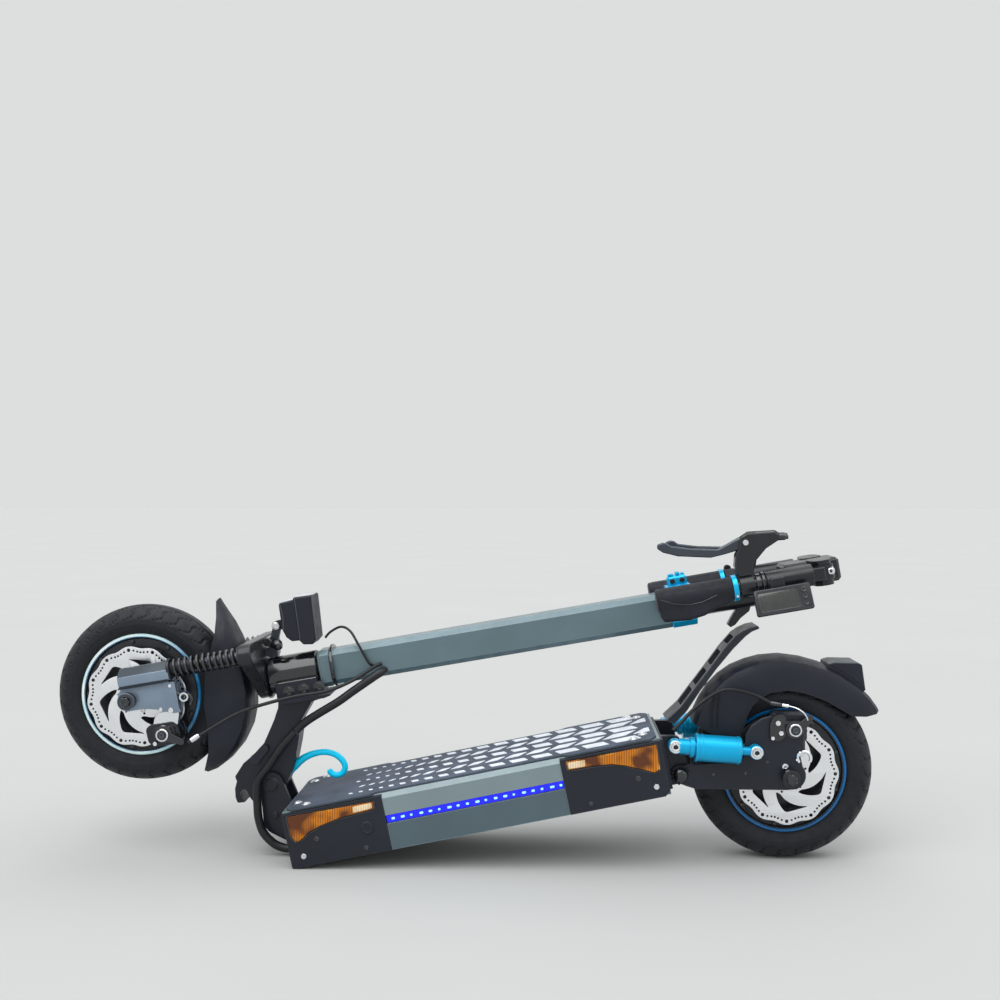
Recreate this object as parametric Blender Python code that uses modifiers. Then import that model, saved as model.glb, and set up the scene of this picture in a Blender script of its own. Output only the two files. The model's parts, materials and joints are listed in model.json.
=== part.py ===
"""Electric kick scooter, folded: deck, folding neck, sprung fork, two wheels, folded handlebars."""

from math import atan2
from math import cos
from math import pi
from math import radians
from math import sin

import bmesh
import bpy
from mathutils import Matrix
from mathutils import Vector

# ---------------------------------------------------------------- driving sizes, millimetres
MM = 0.001
TYRE_R = 127.5
TYRE_HALF_WIDTH = 33.5
REAR_AXLE_X = 455.8
DECK_PITCH = radians(11.75)
STEM_PITCH = radians(9.93)
STEM_ORIGIN = (-462.2, 219.3)
AXLE_LEAD = 9.0
FOLD_PIVOT = (150.9, 163.3)
FOLD_ANGLE = radians(78.0)
GAP = 0.3

DECK_NOSE = -697.0
DECK_TAIL = -165.0
DECK_BOTTOM = 14.0
DECK_TOP = 92.0
DECK_HALF = 95.0
NOSE_CORNER_R = 4.0
PANEL_FRONT_SEAM = -555.5
PANEL_REAR_SEAM = -305.5

ROTOR_R = 72.0
ROTOR_Y = -47.0
BAR_X = -20.0
BAR_Y = 60.0
BAR_PIVOT_Y = 48.0
BAR_PIVOT_Z = 985.0

# ---------------------------------------------------------------- empty scene
for stale in list(bpy.data.objects):
    bpy.data.objects.remove(stale, do_unlink=True)

COLLECTION = bpy.data.collections.new("electric_kick_scooter")
bpy.context.scene.collection.children.link(COLLECTION)


def frame(name, location, turn_y):
    """An empty whose local axes are the ones the pieces under it are drawn in."""
    empty = bpy.data.objects.new(name, None)
    empty.location = location
    empty.rotation_euler = (0.0, turn_y, 0.0)
    COLLECTION.objects.link(empty)
    return empty


def frame_matrix(location, turn_y):
    return Matrix.Translation(location) @ Matrix.Rotation(turn_y, 4, "Y")


REAR_AXLE = (REAR_AXLE_X * MM, 0.0, TYRE_R * MM)
STEM_BASE = (STEM_ORIGIN[0] * MM, 0.0, STEM_ORIGIN[1] * MM)
STEM_TURN = pi / 2 - STEM_PITCH
REAR = frame("rear_frame", REAR_AXLE, 0.0)
DECK = frame("deck_frame_axes", REAR_AXLE, -DECK_PITCH)
STEM = frame("stem_frame_axes", STEM_BASE, STEM_TURN)
PLACE = {
    REAR: frame_matrix(REAR_AXLE, 0.0),
    DECK: frame_matrix(REAR_AXLE, -DECK_PITCH),
    STEM: frame_matrix(STEM_BASE, STEM_TURN),
}


def at(where, x, y, z):
    """A point given in one frame, in metres in the world."""
    return PLACE[where] @ (Vector((x, y, z)) * MM)


def point_in(where, world):
    """A world point in metres, in the millimetres of one frame."""
    return (PLACE[where].inverted() @ world) / MM


# ---------------------------------------------------------------- materials
MATERIALS = {}
LOOKS = {
    "paint_grey": ((0.13, 0.19, 0.22), 0.35, 0.6),
    "black_satin": ((0.025, 0.028, 0.035), 0.45, 0.3),
    "black_metal": ((0.03, 0.033, 0.04), 0.35, 0.7),
    "black_plastic": ((0.02, 0.022, 0.026), 0.5, 0.0),
    "rubber": ((0.015, 0.016, 0.018), 0.8, 0.0),
    "grip_rubber": ((0.02, 0.02, 0.024), 0.75, 0.0),
    "steel": ((0.72, 0.73, 0.75), 0.25, 1.0),
    "alloy_blue_grey": ((0.23, 0.3, 0.37), 0.35, 0.8),
    "cyan_anodised": ((0.0, 0.45, 0.8), 0.25, 0.8),
    "cyan_plastic": ((0.0, 0.55, 0.85), 0.35, 0.0),
    "amber": ((0.8, 0.3, 0.01), 0.15, 0.0),
    "red_lens": ((0.5, 0.01, 0.02), 0.2, 0.0),
    "deck_mat": ((0.06, 0.075, 0.11), 0.8, 0.0),
    "battery_wrap": ((0.05, 0.12, 0.35), 0.5, 0.0),
    "cable": ((0.012, 0.012, 0.014), 0.55, 0.0),
}


def material(name):
    if name not in MATERIALS:
        colour, rough, metal = LOOKS[name]
        made = bpy.data.materials.new(name)
        made.use_nodes = True
        shader = made.node_tree.nodes["Principled BSDF"]
        shader.inputs["Base Color"].default_value = (*colour, 1.0)
        shader.inputs["Roughness"].default_value = rough
        shader.inputs["Metallic"].default_value = metal
        MATERIALS[name] = made
    return MATERIALS[name]


# ---------------------------------------------------------------- solids, drawn in millimetres
ALONG = {
    "X": Matrix.Rotation(pi / 2, 4, "Y"),
    "Y": Matrix.Rotation(-pi / 2, 4, "X"),
    "Z": Matrix.Identity(4),
}
OUTLINE_PLANE = {
    "X": Matrix(((0, 0, 1, 0), (1, 0, 0, 0), (0, 1, 0, 0), (0, 0, 0, 1))),
    "Y": Matrix(((1, 0, 0, 0), (0, 0, -1, 0), (0, 1, 0, 0), (0, 0, 0, 1))),
    "Z": Matrix.Identity(4),
}
DIRECTION = {"X": Vector((1, 0, 0)), "Y": Vector((0, 1, 0)), "Z": Vector((0, 0, 1))}


def linked(name, data):
    item = bpy.data.objects.new(name, data)
    COLLECTION.objects.link(item)
    return item


def evaluated(item):
    """A plain mesh object in place of a curve or of an object with modifiers."""
    graph = bpy.context.evaluated_depsgraph_get()
    made = linked("solid", bpy.data.meshes.new_from_object(item.evaluated_get(graph)))
    made.matrix_world = item.matrix_world
    bpy.data.objects.remove(item, do_unlink=True)
    return made


def welded(item, place=None):
    """Put a new mesh in its place, close its seams and turn its faces outwards."""
    bm = bmesh.new()
    bm.from_mesh(item.data)
    if place is not None:
        bmesh.ops.transform(bm, matrix=place, verts=bm.verts)
    bmesh.ops.remove_doubles(bm, verts=bm.verts, dist=0.00001)
    bmesh.ops.dissolve_limit(bm, angle_limit=radians(0.2), verts=bm.verts, edges=bm.edges)
    bmesh.ops.recalc_face_normals(bm, faces=bm.faces)
    bm.to_mesh(item.data)
    bm.free()
    return item


def bevelled(item, size, segments=1):
    """Round the sharp edges of a solid by a size in millimetres."""
    if size == 0.0:
        return item
    step = item.modifiers.new("rounding", "BEVEL")
    step.width = size * MM
    step.segments = segments
    step.limit_method = "ANGLE"
    step.angle_limit = radians(50)
    step.use_clamp_overlap = False
    return evaluated(item)


def prism(outline, low, high, axis="Y", bevel=0.0, segments=1):
    """A flat outline, a filled curve, pushed straight along one axis between two heights.

    The outline is (x, z) for an axis along Y, (y, z) for X and (x, y) for Z.
    """
    curve = bpy.data.curves.new("outline", "CURVE")
    curve.dimensions = "2D"
    curve.fill_mode = "BOTH"
    curve.extrude = (high - low) / 2
    line = curve.splines.new("POLY")
    line.points.add(len(outline) - 1)
    for point, (a, b) in zip(line.points, outline):
        point.co = (a, b, 0.0, 1.0)
    line.use_cyclic_u = True
    item = evaluated(linked("outline", curve))
    middle = Matrix.Translation(DIRECTION[axis] * (low + high) / 2)
    welded(item, Matrix.Scale(MM, 4) @ middle @ OUTLINE_PLANE[axis])
    return bevelled(item, bevel, segments)


def block(x, y, z, bevel=0.0, segments=1):
    """A box from three (low, high) spans."""
    low = Vector((x[0], y[0], z[0])) * MM
    high = Vector((x[1], y[1], z[1])) * MM
    bm = bmesh.new()
    bmesh.ops.create_cube(bm, size=1.0)
    bmesh.ops.scale(bm, vec=high - low, verts=bm.verts)
    bmesh.ops.translate(bm, vec=(high + low) / 2, verts=bm.verts)
    mesh = bpy.data.meshes.new("block")
    bm.to_mesh(mesh)
    bm.free()
    return bevelled(linked("block", mesh), bevel, segments)


def turned(profile, centre, axis="Y", segments=32):
    """A (radius, height) profile turned once around an axis through a centre."""
    bm = bmesh.new()
    points = [bm.verts.new((r * MM, 0.0, h * MM)) for r, h in profile]
    edges = list(zip(points, points[1:]))
    if profile[0][0] > 0.0:
        edges.append((points[-1], points[0]))
    for pair in edges:
        bm.edges.new(pair)
    mesh = bpy.data.meshes.new("profile")
    bm.to_mesh(mesh)
    bm.free()
    item = linked("profile", mesh)
    screw = item.modifiers.new("turn", "SCREW")
    screw.steps = segments
    screw.render_steps = segments
    screw.use_merge_vertices = True
    screw.merge_threshold = 0.00001
    return welded(evaluated(item), Matrix.Translation(Vector(centre) * MM) @ ALONG[axis])


def rod(radius, low, high, centre, axis="Y", segments=14, chamfer=0.0):
    """A round bar along an axis through a centre, from one height to another."""
    bm = bmesh.new()
    bmesh.ops.create_cone(
        bm,
        cap_ends=True,
        segments=segments,
        radius1=radius * MM,
        radius2=radius * MM,
        depth=(high - low) * MM,
    )
    middle = Vector(centre) + DIRECTION[axis] * (low + high) / 2
    place = Matrix.Translation(middle * MM) @ ALONG[axis]
    bmesh.ops.transform(bm, matrix=place, verts=bm.verts)
    mesh = bpy.data.meshes.new("rod")
    bm.to_mesh(mesh)
    bm.free()
    return bevelled(linked("rod", mesh), chamfer)


def joined(first, *others):
    """Fuse solids into one body."""
    return combined(first, others, "UNION")


def without(first, *others):
    """Cut solids out of the first one."""
    return combined(first, others, "DIFFERENCE")


def combined(first, others, operation):
    for other in others:
        step = first.modifiers.new("step", "BOOLEAN")
        step.operation = operation
        step.solver = "EXACT"
        step.object = other
        graph = bpy.context.evaluated_depsgraph_get()
        result = bpy.data.meshes.new_from_object(first.evaluated_get(graph))
        first.modifiers.clear()
        first.data = result
        bpy.data.objects.remove(other, do_unlink=True)
    bm = bmesh.new()
    bm.from_mesh(first.data)
    bmesh.ops.remove_doubles(bm, verts=bm.verts, dist=0.000002)
    bm.to_mesh(first.data)
    bm.free()
    return first


def finish(item, name, look, where, pivot=(0.0, 0.0, 0.0)):
    """Name a solid, colour it, put its origin on a pivot and hang it under its frame."""
    item.name = name
    item.data.name = name
    item.data.materials.clear()
    item.data.materials.append(material(look))
    item.data.transform(Matrix.Translation(Vector(pivot) * -MM))
    item.location = Vector(pivot) * MM
    if where is not None:
        item.parent = where
    item.data.shade_smooth()
    item.data.set_sharp_from_angle(angle=radians(32))
    return item


def across(item):
    """Carries a solid to the other side of the middle plane."""
    item.data.transform(Matrix.Scale(-1.0, 4, (0.0, 1.0, 0.0)))
    item.data.flip_normals()
    item.location[1] = -item.location[1]
    return item


def mirrored(item, name):
    """A second solid on the other side of the middle plane."""
    other = item.copy()
    other.data = item.data.copy()
    other.name = name
    other.data.name = name
    COLLECTION.objects.link(other)
    return across(other)


def arc(centre, radius, start, end, count):
    """Points on a circle, angles in degrees."""
    points = []
    for k in range(count + 1):
        angle = radians(start + (end - start) * k / count)
        points.append((centre[0] + radius * cos(angle), centre[1] + radius * sin(angle)))
    return points


def hull(circles, count=16):
    """The outline of a string pulled tight around circles (x, z, radius)."""
    points = []
    for cx, cz, radius in circles:
        points += arc((cx, cz), radius, 0, 360 - 360 / count, count - 1)
    points = sorted(set((round(a, 4), round(b, 4)) for a, b in points))

    def half(ordered):
        side = []
        for p in ordered:
            while len(side) > 1:
                ax, az = side[-2]
                bx, bz = side[-1]
                if (bx - ax) * (p[1] - az) - (bz - az) * (p[0] - ax) > 1e-6:
                    break
                side.pop()
            side.append(p)
        return side[:-1]

    return half(points) + half(points[::-1])


def grown(outline, distance):
    """An outline moved outwards by a distance (inwards when negative)."""
    area = 0.0
    count = len(outline)
    for i in range(count):
        ax, az = outline[i]
        bx, bz = outline[(i + 1) % count]
        area += ax * bz - bx * az
    sign = 1.0 if area > 0 else -1.0
    moved = []
    for i in range(count):
        before = Vector(outline[i]) - Vector(outline[i - 1])
        after = Vector(outline[(i + 1) % count]) - Vector(outline[i])
        n1 = Vector((before.y, -before.x)).normalized() * sign
        n2 = Vector((after.y, -after.x)).normalized() * sign
        middle = (n1 + n2).normalized()
        reach = distance / max(0.5, middle.dot(n1))
        moved.append((outline[i][0] + middle.x * reach, outline[i][1] + middle.y * reach))
    return moved


def spline(points, per_span):
    """A smooth path through points."""
    points = [Vector(p) for p in points]
    full = [points[0] * 2 - points[1], *points, points[-1] * 2 - points[-2]]
    path = []
    for i in range(1, len(full) - 2):
        p0, p1, p2, p3 = full[i - 1 : i + 3]
        for k in range(per_span):
            t = k / per_span
            path.append(
                0.5
                * (
                    2 * p1
                    + (p2 - p0) * t
                    + (2 * p0 - 5 * p1 + 4 * p2 - p3) * t * t
                    + (3 * p1 - p0 - 3 * p2 + p3) * t * t * t
                )
            )
    path.append(points[-1])
    return path


def hose(path, radius):
    """A round cord: a curve through points in metres, with a bevel and filled caps."""
    curve = bpy.data.curves.new("cord", "CURVE")
    curve.dimensions = "3D"
    curve.bevel_depth = radius * MM
    curve.bevel_resolution = 2
    curve.use_fill_caps = True
    line = curve.splines.new("POLY")
    line.points.add(len(path) - 1)
    for point, place in zip(line.points, path):
        point.co = (*place, 1.0)
    return welded(evaluated(linked("cord", curve)))


def skin(rows, thickness):
    """An open loft through rows of points, given a thickness on its inner side."""
    bm = bmesh.new()
    grid = [[bm.verts.new(Vector(p) * MM) for p in row] for row in rows]
    for here, there in zip(grid, grid[1:]):
        for j in range(len(here) - 1):
            bm.faces.new((here[j], here[j + 1], there[j + 1], there[j]))
    mesh = bpy.data.meshes.new("skin")
    bm.to_mesh(mesh)
    bm.free()
    item = linked("skin", mesh)
    wall = item.modifiers.new("wall", "SOLIDIFY")
    wall.thickness = thickness * MM
    wall.offset = -1.0
    return welded(evaluated(item))


# ---------------------------------------------------------------- deck
def deck_side_outline(low_x, high_x, top):
    corner = (DECK_NOSE + NOSE_CORNER_R, DECK_BOTTOM + NOSE_CORNER_R)
    points = arc(corner, NOSE_CORNER_R, 180, 270, 4) if low_x < DECK_NOSE + 1 else []
    if not points:
        points = [(low_x, top), (low_x, DECK_BOTTOM)]
        points += [(high_x, DECK_BOTTOM), (high_x, top)]
        return points
    return [(low_x, top), *points, (high_x, DECK_BOTTOM), (high_x, top)]


deck = prism(deck_side_outline(DECK_NOSE, DECK_TAIL, DECK_TOP), -DECK_HALF, DECK_HALF)
PANEL_Y = 89.0
cuts = [block((-684, -177), (-87, 87), (8, 86))]
for side in (-1, 1):
    span = sorted((side * PANEL_Y, side * 120))
    cuts.append(block((-720, PANEL_FRONT_SEAM), span, (0, 120)))
    cuts.append(block((PANEL_REAR_SEAM, -150), span, (0, 120)))
    groove = sorted((side * (DECK_HALF - 3.0), side * 120))
    cuts.append(block((-600, -250), groove, (50.5, 62.0)))
    slope = [(side * 96, 85), (side * 96, 93), (side * 87.6, 93)]
    cuts.append(prism(slope, -600, -250, "X"))
without(deck, *cuts)
finish(deck, "deck_frame", "paint_grey", DECK)

mat = prism(
    [(-689, -76), (-680, -85), (-182, -85), (-172, -75)]
    + [(-172, 75), (-182, 85), (-680, 85), (-689, 76)],
    DECK_TOP + GAP,
    DECK_TOP + 2.8,
    "Z",
    0.6,
)
finish(mat, "deck_mat", "deck_mat", DECK)
cover = block((-683.5, -177.5), (-86.5, 86.5), (15.0, 18.0))
finish(cover, "deck_bottom_cover", "black_metal", DECK)
battery = block((-590, -300), (-70, 70), (18.5, 80), 3.0, 1)
finish(battery, "battery_pack", "battery_wrap", DECK)
controller = block((-280, -200), (-45, 45), (18.5, 54), 2.0, 1)
finish(controller, "motor_controller", "black_metal", DECK)

FRONT_LENS = [(-690, 87), (-690, 60), (-685, 50.5), (-679, 50.5), (-664, 59.5), (-648, 65.5)]
FRONT_LENS += [(-633, 68.5), (-615, 71.5), (-592, 73), (-568, 74.5), (-567, 84.5)]
REAR_LENS = [(-297, 87), (-297, 75), (-262, 74), (-237, 71.5), (-219, 66), (-198, 56.5)]
REAR_LENS += [(-182, 49), (-173, 52), (-171.5, 86)]


def side_panel(low_x, high_x, lens, name):
    outline = deck_side_outline(low_x, high_x, 90.5)
    if low_x > DECK_NOSE:
        outline = [(low_x, 90.5), (low_x, DECK_BOTTOM)]
        outline += [(high_x - 8, DECK_BOTTOM), (high_x, DECK_BOTTOM + 8), (high_x, 90.5)]
    panel = prism(outline, -96.5, -(PANEL_Y + GAP), bevel=0.0)
    without(panel, prism(grown(lens, 0.4), -120, -93.6))
    near = finish(panel, name + "_near", "black_satin", DECK)
    mirrored(near, name + "_far")
    glass = prism(lens, -97.3, -93.9, bevel=0.7)
    near = finish(glass, name.replace("side_panel", "signal_lens") + "_near", "amber", DECK)
    mirrored(near, name.replace("side_panel", "signal_lens") + "_far")


side_panel(DECK_NOSE, PANEL_FRONT_SEAM - GAP, FRONT_LENS, "side_panel_front")
side_panel(PANEL_REAR_SEAM + GAP, DECK_TAIL, REAR_LENS, "side_panel_rear")

# ---------------------------------------------------------------- nose bracket and fold hinge
NECK_HALF = 18.0
CHEEK_IN = NECK_HALF + 0.5
CHEEK_OUT = 25.5
HINGE_PIN_R = 6.0
CLAW_PIN_R = 5.0
CLAW_REACH = 44.5
pivot_deck = point_in(DECK, at(STEM, FOLD_PIVOT[0], 0, FOLD_PIVOT[1]))
claw_rest = Vector((7.6, 0.0, -43.8)).normalized() * CLAW_REACH
claw_world = (PLACE[STEM].to_3x3() @ claw_rest) * MM
claw_open = Matrix.Rotation(-FOLD_ANGLE, 3, "Y") @ claw_world
claw_deck = point_in(DECK, at(STEM, FOLD_PIVOT[0], 0, FOLD_PIVOT[1]) + claw_open)
PX, PZ = pivot_deck.x, pivot_deck.z
CX, CZ = claw_deck.x, claw_deck.z

plate_x = DECK_NOSE - GAP
cheek = hull([(PX, PZ, 17), (CX + 2, CZ - 8, 21), (plate_x - 4, 30, 3), (plate_x - 4, 88, 3)], 20)
bracket = prism(cheek, -CHEEK_OUT, -CHEEK_IN)
joined(bracket, prism(cheek, CHEEK_IN, CHEEK_OUT))
joined(bracket, block((plate_x - 5, plate_x), (-48, 48), (24, 88), 1.0, 1))
joined(bracket, rod(CLAW_PIN_R, -CHEEK_OUT - 3, CHEEK_OUT + 3, (CX, 0, CZ), chamfer=0.8))
head = CHEEK_OUT - 1.0
pin_profile = [(0, -head - 4.2), (8.5, -head - 4.2), (10, -head - 2.6), (10, -head)]
pin_profile += [(HINGE_PIN_R, -head), (HINGE_PIN_R, head), (10, head), (10, head + 2.6)]
pin_profile += [(8.5, head + 4.2), (0, head + 4.2)]
joined(bracket, turned(pin_profile, (PX, 0, PZ), "Y", 16))
finish(bracket, "nose_hinge_bracket", "black_metal", DECK)

# ---------------------------------------------------------------- rear bracket and kick plate
SWING = (-149.5, 1.0)
SHOCK_TOP = (-158.0, 43.0)
SHOCK_LOW = (-47.5, 36.0)
EAR_IN = 50.0
EAR_OUT = 60.0
ARM_IN = 61.0
ARM_OUT = 66.0
swing_deck = point_in(DECK, at(REAR, SWING[0], 0, SWING[1]))
shock_deck = point_in(DECK, at(REAR, SHOCK_TOP[0], 0, SHOCK_TOP[1]))
BACK_X = DECK_TAIL + GAP
ear = hull(
    [
        (swing_deck.x, swing_deck.z, 13.5),
        (shock_deck.x, shock_deck.z, 10.5),
        (BACK_X + 2, 20, 2),
        (BACK_X + 2, 86, 2),
    ],
    24,
)
rear_bracket = block((BACK_X, BACK_X + 4.0), (-80, 80), (18, 88), 0.8, 1)
for side in (-1, 1):
    span = sorted((side * EAR_IN, side * EAR_OUT))
    joined(rear_bracket, prism(ear, span[0], span[1]))
    stud = sorted((side * (EAR_OUT - 3), side * 86))
    joined(rear_bracket, rod(4.5, stud[0], stud[1], (shock_deck.x, 0, shock_deck.z)))
without(rear_bracket, rod(10.3, -90, 90, (swing_deck.x, 0, swing_deck.z), segments=14))
finish(rear_bracket, "rear_bracket", "black_satin", DECK)

PLATE_UP = [(-166, 68), (-145, 88), (-130, 108.5), (-105.5, 141), (-85, 169), (-68, 189)]
PLATE_UP += [(-58, 196), (-47, 201), (-36, 203.2)]
PLATE_LOW = [(-34, 199.5), (-45, 195), (-54, 188), (-71.5, 170), (-94.4, 142), (-118.4, 109)]
PLATE_LOW += [(-136, 82), (-154, 63)]
PLATE_HALF = 26.0
plate = prism(PLATE_UP + PLATE_LOW, -PLATE_HALF, PLATE_HALF, bevel=0.8)
WINDOWS = [(-134.5, 98.5, 14), (-114, 127, 13), (-93.5, 155, 12), (-73, 181, 7)]
for wx, wz, half_long in WINDOWS:
    hole = block((-15, 15), (-18, 18), (-half_long, half_long), 3.5, 2)
    hole.data.transform(Matrix.Rotation(radians(37), 4, "Y"))
    hole.data.transform(Matrix.Translation(Vector((wx, 0, wz)) * MM))
    without(plate, hole)
finish(plate, "kick_plate", "alloy_blue_grey", REAR)


# ---------------------------------------------------------------- wheels
def wheel(prefix, where, centre):
    """Tyre, hub motor with rim and brake rotor around one axle."""
    half = TYRE_HALF_WIDTH
    section = [(92.0, -27.0), (98, -31), (110, -half), (120, -30), (125.5, -20), (TYRE_R, -7)]
    section += [(r, -y) for r, y in section[::-1]]
    section += [(89.5, 13.5), (107.5, 20.5), (107.5, -20.5), (89.5, -13.5)]
    tyre = turned(section, centre, "Y", 36)
    finish(tyre, prefix + "_tyre", "rubber", where, centre)
    hub_side = [(8.4, -34), (23, -34), (24, -29), (70, -27), (80, -24.5)]
    hub_side += [(82.5, -27.5), (90.5, -27.5), (88.9, -12)]
    profile = hub_side + [(r, -y) for r, y in hub_side[::-1]]
    hub = turned(profile, centre, "Y", 36)
    finish(hub, prefix + "_hub_motor", "black_metal", where, centre)
    waves = []
    for k in range(36):
        angle = 2 * pi * k / 36
        reach = ROTOR_R - 1.2 + 1.2 * cos(angle * 12)
        waves.append((centre[0] + reach * cos(angle), centre[2] + reach * sin(angle)))
    rotor = prism(waves, ROTOR_Y - 0.9, ROTOR_Y + 0.9)
    joined(rotor, rod(21, ROTOR_Y, -34.3, centre, segments=14))
    without(rotor, rod(15.0, -80, 0, centre, segments=14))
    for k in range(6):
        turn = 60 * k
        window = arc((0, 0), 52, turn + 6, turn + 38, 3) + arc((0, 0), 31, turn + 30, turn + 8, 1)
        window = [(centre[0] + a, centre[2] + b) for a, b in window]
        without(rotor, prism(window, -80, -40))
    finish(rotor, prefix + "_brake_rotor", "steel", where, centre)


wheel("rear", REAR, (0.0, 0.0, 0.0))
wheel("front", STEM, (-AXLE_LEAD, 0.0, 0.0))

REAR_AXLE_END = [(0, -86), (6, -86), (6.5, -85), (6.5, -84), (12, -82.5), (12, -73.5), (8, -73.5)]
FRONT_AXLE_END = [(0, -92), (6, -92), (6.5, -91), (12, -90), (12, -82.5), (8, -82.5)]


def axle(end, where, centre, name):
    """A through bolt with a stepped head at each end."""
    profile = end + [(r, -y) for r, y in end[::-1]]
    made = turned(profile, centre, "Y", 16)
    finish(made, name, "black_metal", where, centre)


def caliper_cuts(item, centre):
    """The slot a rotor runs in."""
    without(item, rod(ROTOR_R + 3, ROTOR_Y - 2.2, ROTOR_Y + 2.2, centre, segments=48))
    return item


# ---------------------------------------------------------------- swing arm, shocks
ARM_UPPER = [(-106, 17.5), (-72, 19), (-65, 22), (-61, 34), (-60, 57), (-52, 70), (-38, 80)]
ARM_UPPER += [(-25, 84), (-14, 78), (4, 52), (12, 42)]
arm_plate = arc((3, 1), 20, 40, -70, 7) + [(-4, -19), (-128, -19), (-141, -15)]
arm_plate += arc(SWING, 13, 230, 95, 6) + ARM_UPPER
swingarm = prism(arm_plate, -ARM_OUT, -ARM_IN, bevel=1.0)
joined(swingarm, rod(10.0, -ARM_IN - 4, ARM_IN + 4, (SWING[0], 0, SWING[1]), segments=14))
joined(swingarm, prism(arm_plate, ARM_IN, ARM_OUT, bevel=1.0))
dome = [(0, -71.5), (5, -71), (9, -69), (10.5, -ARM_OUT + 1), (0, -ARM_OUT + 1)]
joined(swingarm, turned(dome, (SWING[0], 0, SWING[1]), "Y", 16))
dome_far = [(r, -y) for r, y in dome[::-1]]
joined(swingarm, turned(dome_far, (SWING[0], 0, SWING[1]), "Y", 16))
for side in (-1, 1):
    stud = sorted((side * (ARM_OUT - 3), side * 86))
    joined(swingarm, rod(4.5, stud[0], stud[1], (SHOCK_LOW[0], 0, SHOCK_LOW[1])))
caliper = block((-24, 26), (-60, -37), (46, 88), 4.0, 1)
joined(caliper, block((-15, 22), (-66, -57), (34, 76), 3.0, 1))
caliper_cuts(caliper, (0, 0, 0))
joined(swingarm, caliper)
without(swingarm, rod(8.3, -90, 90, (0, 0, 0), segments=14))
finish(swingarm, "rear_swingarm", "black_satin", REAR, (SWING[0], 0, SWING[1]))
axle(REAR_AXLE_END, REAR, (0.0, 0.0, 0.0), "rear_axle")

ARM_PIVOT = (9.0, 63.0)
lever_arm = prism(hull([(*ARM_PIVOT, 8), (28, 82, 4)], 16), -70.5, -66.4)
finish(lever_arm, "rear_caliper_arm", "black_metal", REAR, (ARM_PIVOT[0], 0, ARM_PIVOT[1]))

shock_dx = SHOCK_LOW[0] - SHOCK_TOP[0]
shock_dz = SHOCK_LOW[1] - SHOCK_TOP[1]
SHOCK_LENGTH = (shock_dx**2 + shock_dz**2) ** 0.5
SHOCK_TURN = atan2(-shock_dz, shock_dx)
shock_at = Vector((SHOCK_TOP[0], 0, SHOCK_TOP[1]))
SHOCK = frame("shock_frame_axes", at(REAR, *shock_at), SHOCK_TURN)
SHOCK_Y = -75.0
EYE_HALF = 8.5


def shock_pair():
    centre = (0, SHOCK_Y, 0)
    body = rod(9.5, -EYE_HALF, EYE_HALF, centre, segments=18, chamfer=1.0)
    joined(body, rod(11, 5, 30, centre, "X", 14))
    barrel = [(0, 28), (17, 28), (18.5, 29.5), (18.5, 88.5), (17, 90), (0, 90)]
    joined(body, turned(barrel, centre, "X", 18))
    without(body, rod(6.4, 58, 95, centre, "X", 14))
    without(body, rod(4.8, -20, 20, centre, segments=14))
    near = finish(body, "shock_body_near", "cyan_anodised", SHOCK)
    mirrored(near, "shock_body_far")
    low = (SHOCK_LENGTH, SHOCK_Y, 0)
    slider = rod(9.5, -EYE_HALF, EYE_HALF, low, segments=18, chamfer=1.0)
    joined(slider, rod(6.0, 66, SHOCK_LENGTH - 5, centre, "X", 14))
    without(slider, rod(5.4, -20, 20, low, segments=14))
    near = finish(slider, "shock_rod_near", "cyan_anodised", SHOCK)
    mirrored(near, "shock_rod_far")


shock_pair()


# ---------------------------------------------------------------- mudguards
GUARD_WALL = 2.5


def mudguard(stations, half_width, centre, where, name):
    """A channel bent over a wheel, from (angle, skirt radius, crown radius, share of width)."""
    rows = []
    for angle, skirt, crown, share in stations:
        direction = Vector((cos(radians(angle)), 0, sin(radians(angle))))
        shoulder = max(skirt + 1.5, crown - 14)
        section = [(1.0, skirt), (1.0, (skirt + shoulder) / 2), (0.975, shoulder)]
        section += [(0.855, crown - 5), (0.64, crown - 1.5), (0.33, crown)]
        section += [(-y, r) for y, r in section[::-1]]
        wide = half_width * share
        rows.append([Vector(centre) + direction * r - Vector((0, y * wide, 0)) for y, r in section])
    finish(skin(rows, GUARD_WALL), name, "black_plastic", where)


REAR_GUARD = [(31.5, 152, 160, 0.6), (34, 138, 160, 0.8), (40, 122, 160, 0.95)]
REAR_GUARD += [(50, 116.5, 159.5, 1), (60, 114.5, 159, 1), (70, 113.5, 158.8, 1)]
REAR_GUARD += [(80, 114, 159, 1), (90, 114.5, 160, 1), (100, 113, 160, 1), (108, 110, 159.5, 1)]
REAR_GUARD += [(116, 104, 159, 1), (124, 95, 157, 1), (132, 86, 154, 1), (140, 81, 150, 1)]
REAR_GUARD += [(147, 79, 146.5, 1), (153, 79, 143.5, 1)]
mudguard(REAR_GUARD, 41.0, (0, 0, 0), REAR, "rear_mudguard")
FRONT_GUARD = [(28, 143, 148, 0.35), (34, 136, 153, 0.65), (42, 128, 157, 0.9)]
FRONT_GUARD += [(52, 115, 160, 1), (62, 104, 161, 1), (72, 96.5, 160, 1), (82, 96, 158.5, 1)]
FRONT_GUARD += [(92, 99, 157, 1), (102, 106, 156.5, 1), (111, 122, 158, 1)]
FRONT_GUARD += [(119, 140, 162, 0.85), (126, 155, 167, 0.55), (132, 169, 174, 0.25)]
mudguard(FRONT_GUARD, 42.0, (-AXLE_LEAD, 0, 0), STEM, "front_mudguard")

lamp_outer = [(62, 149.5), (72, 152.5), (104, 152), (109, 149), (114, 113)]
lamp_inner = arc((0, 0), 161.0, 46, 66, 6)
lamp_box = prism(lamp_outer + lamp_inner, -27, 27, bevel=1.0)
finish(lamp_box, "rear_lamp", "red_lens", REAR)

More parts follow.
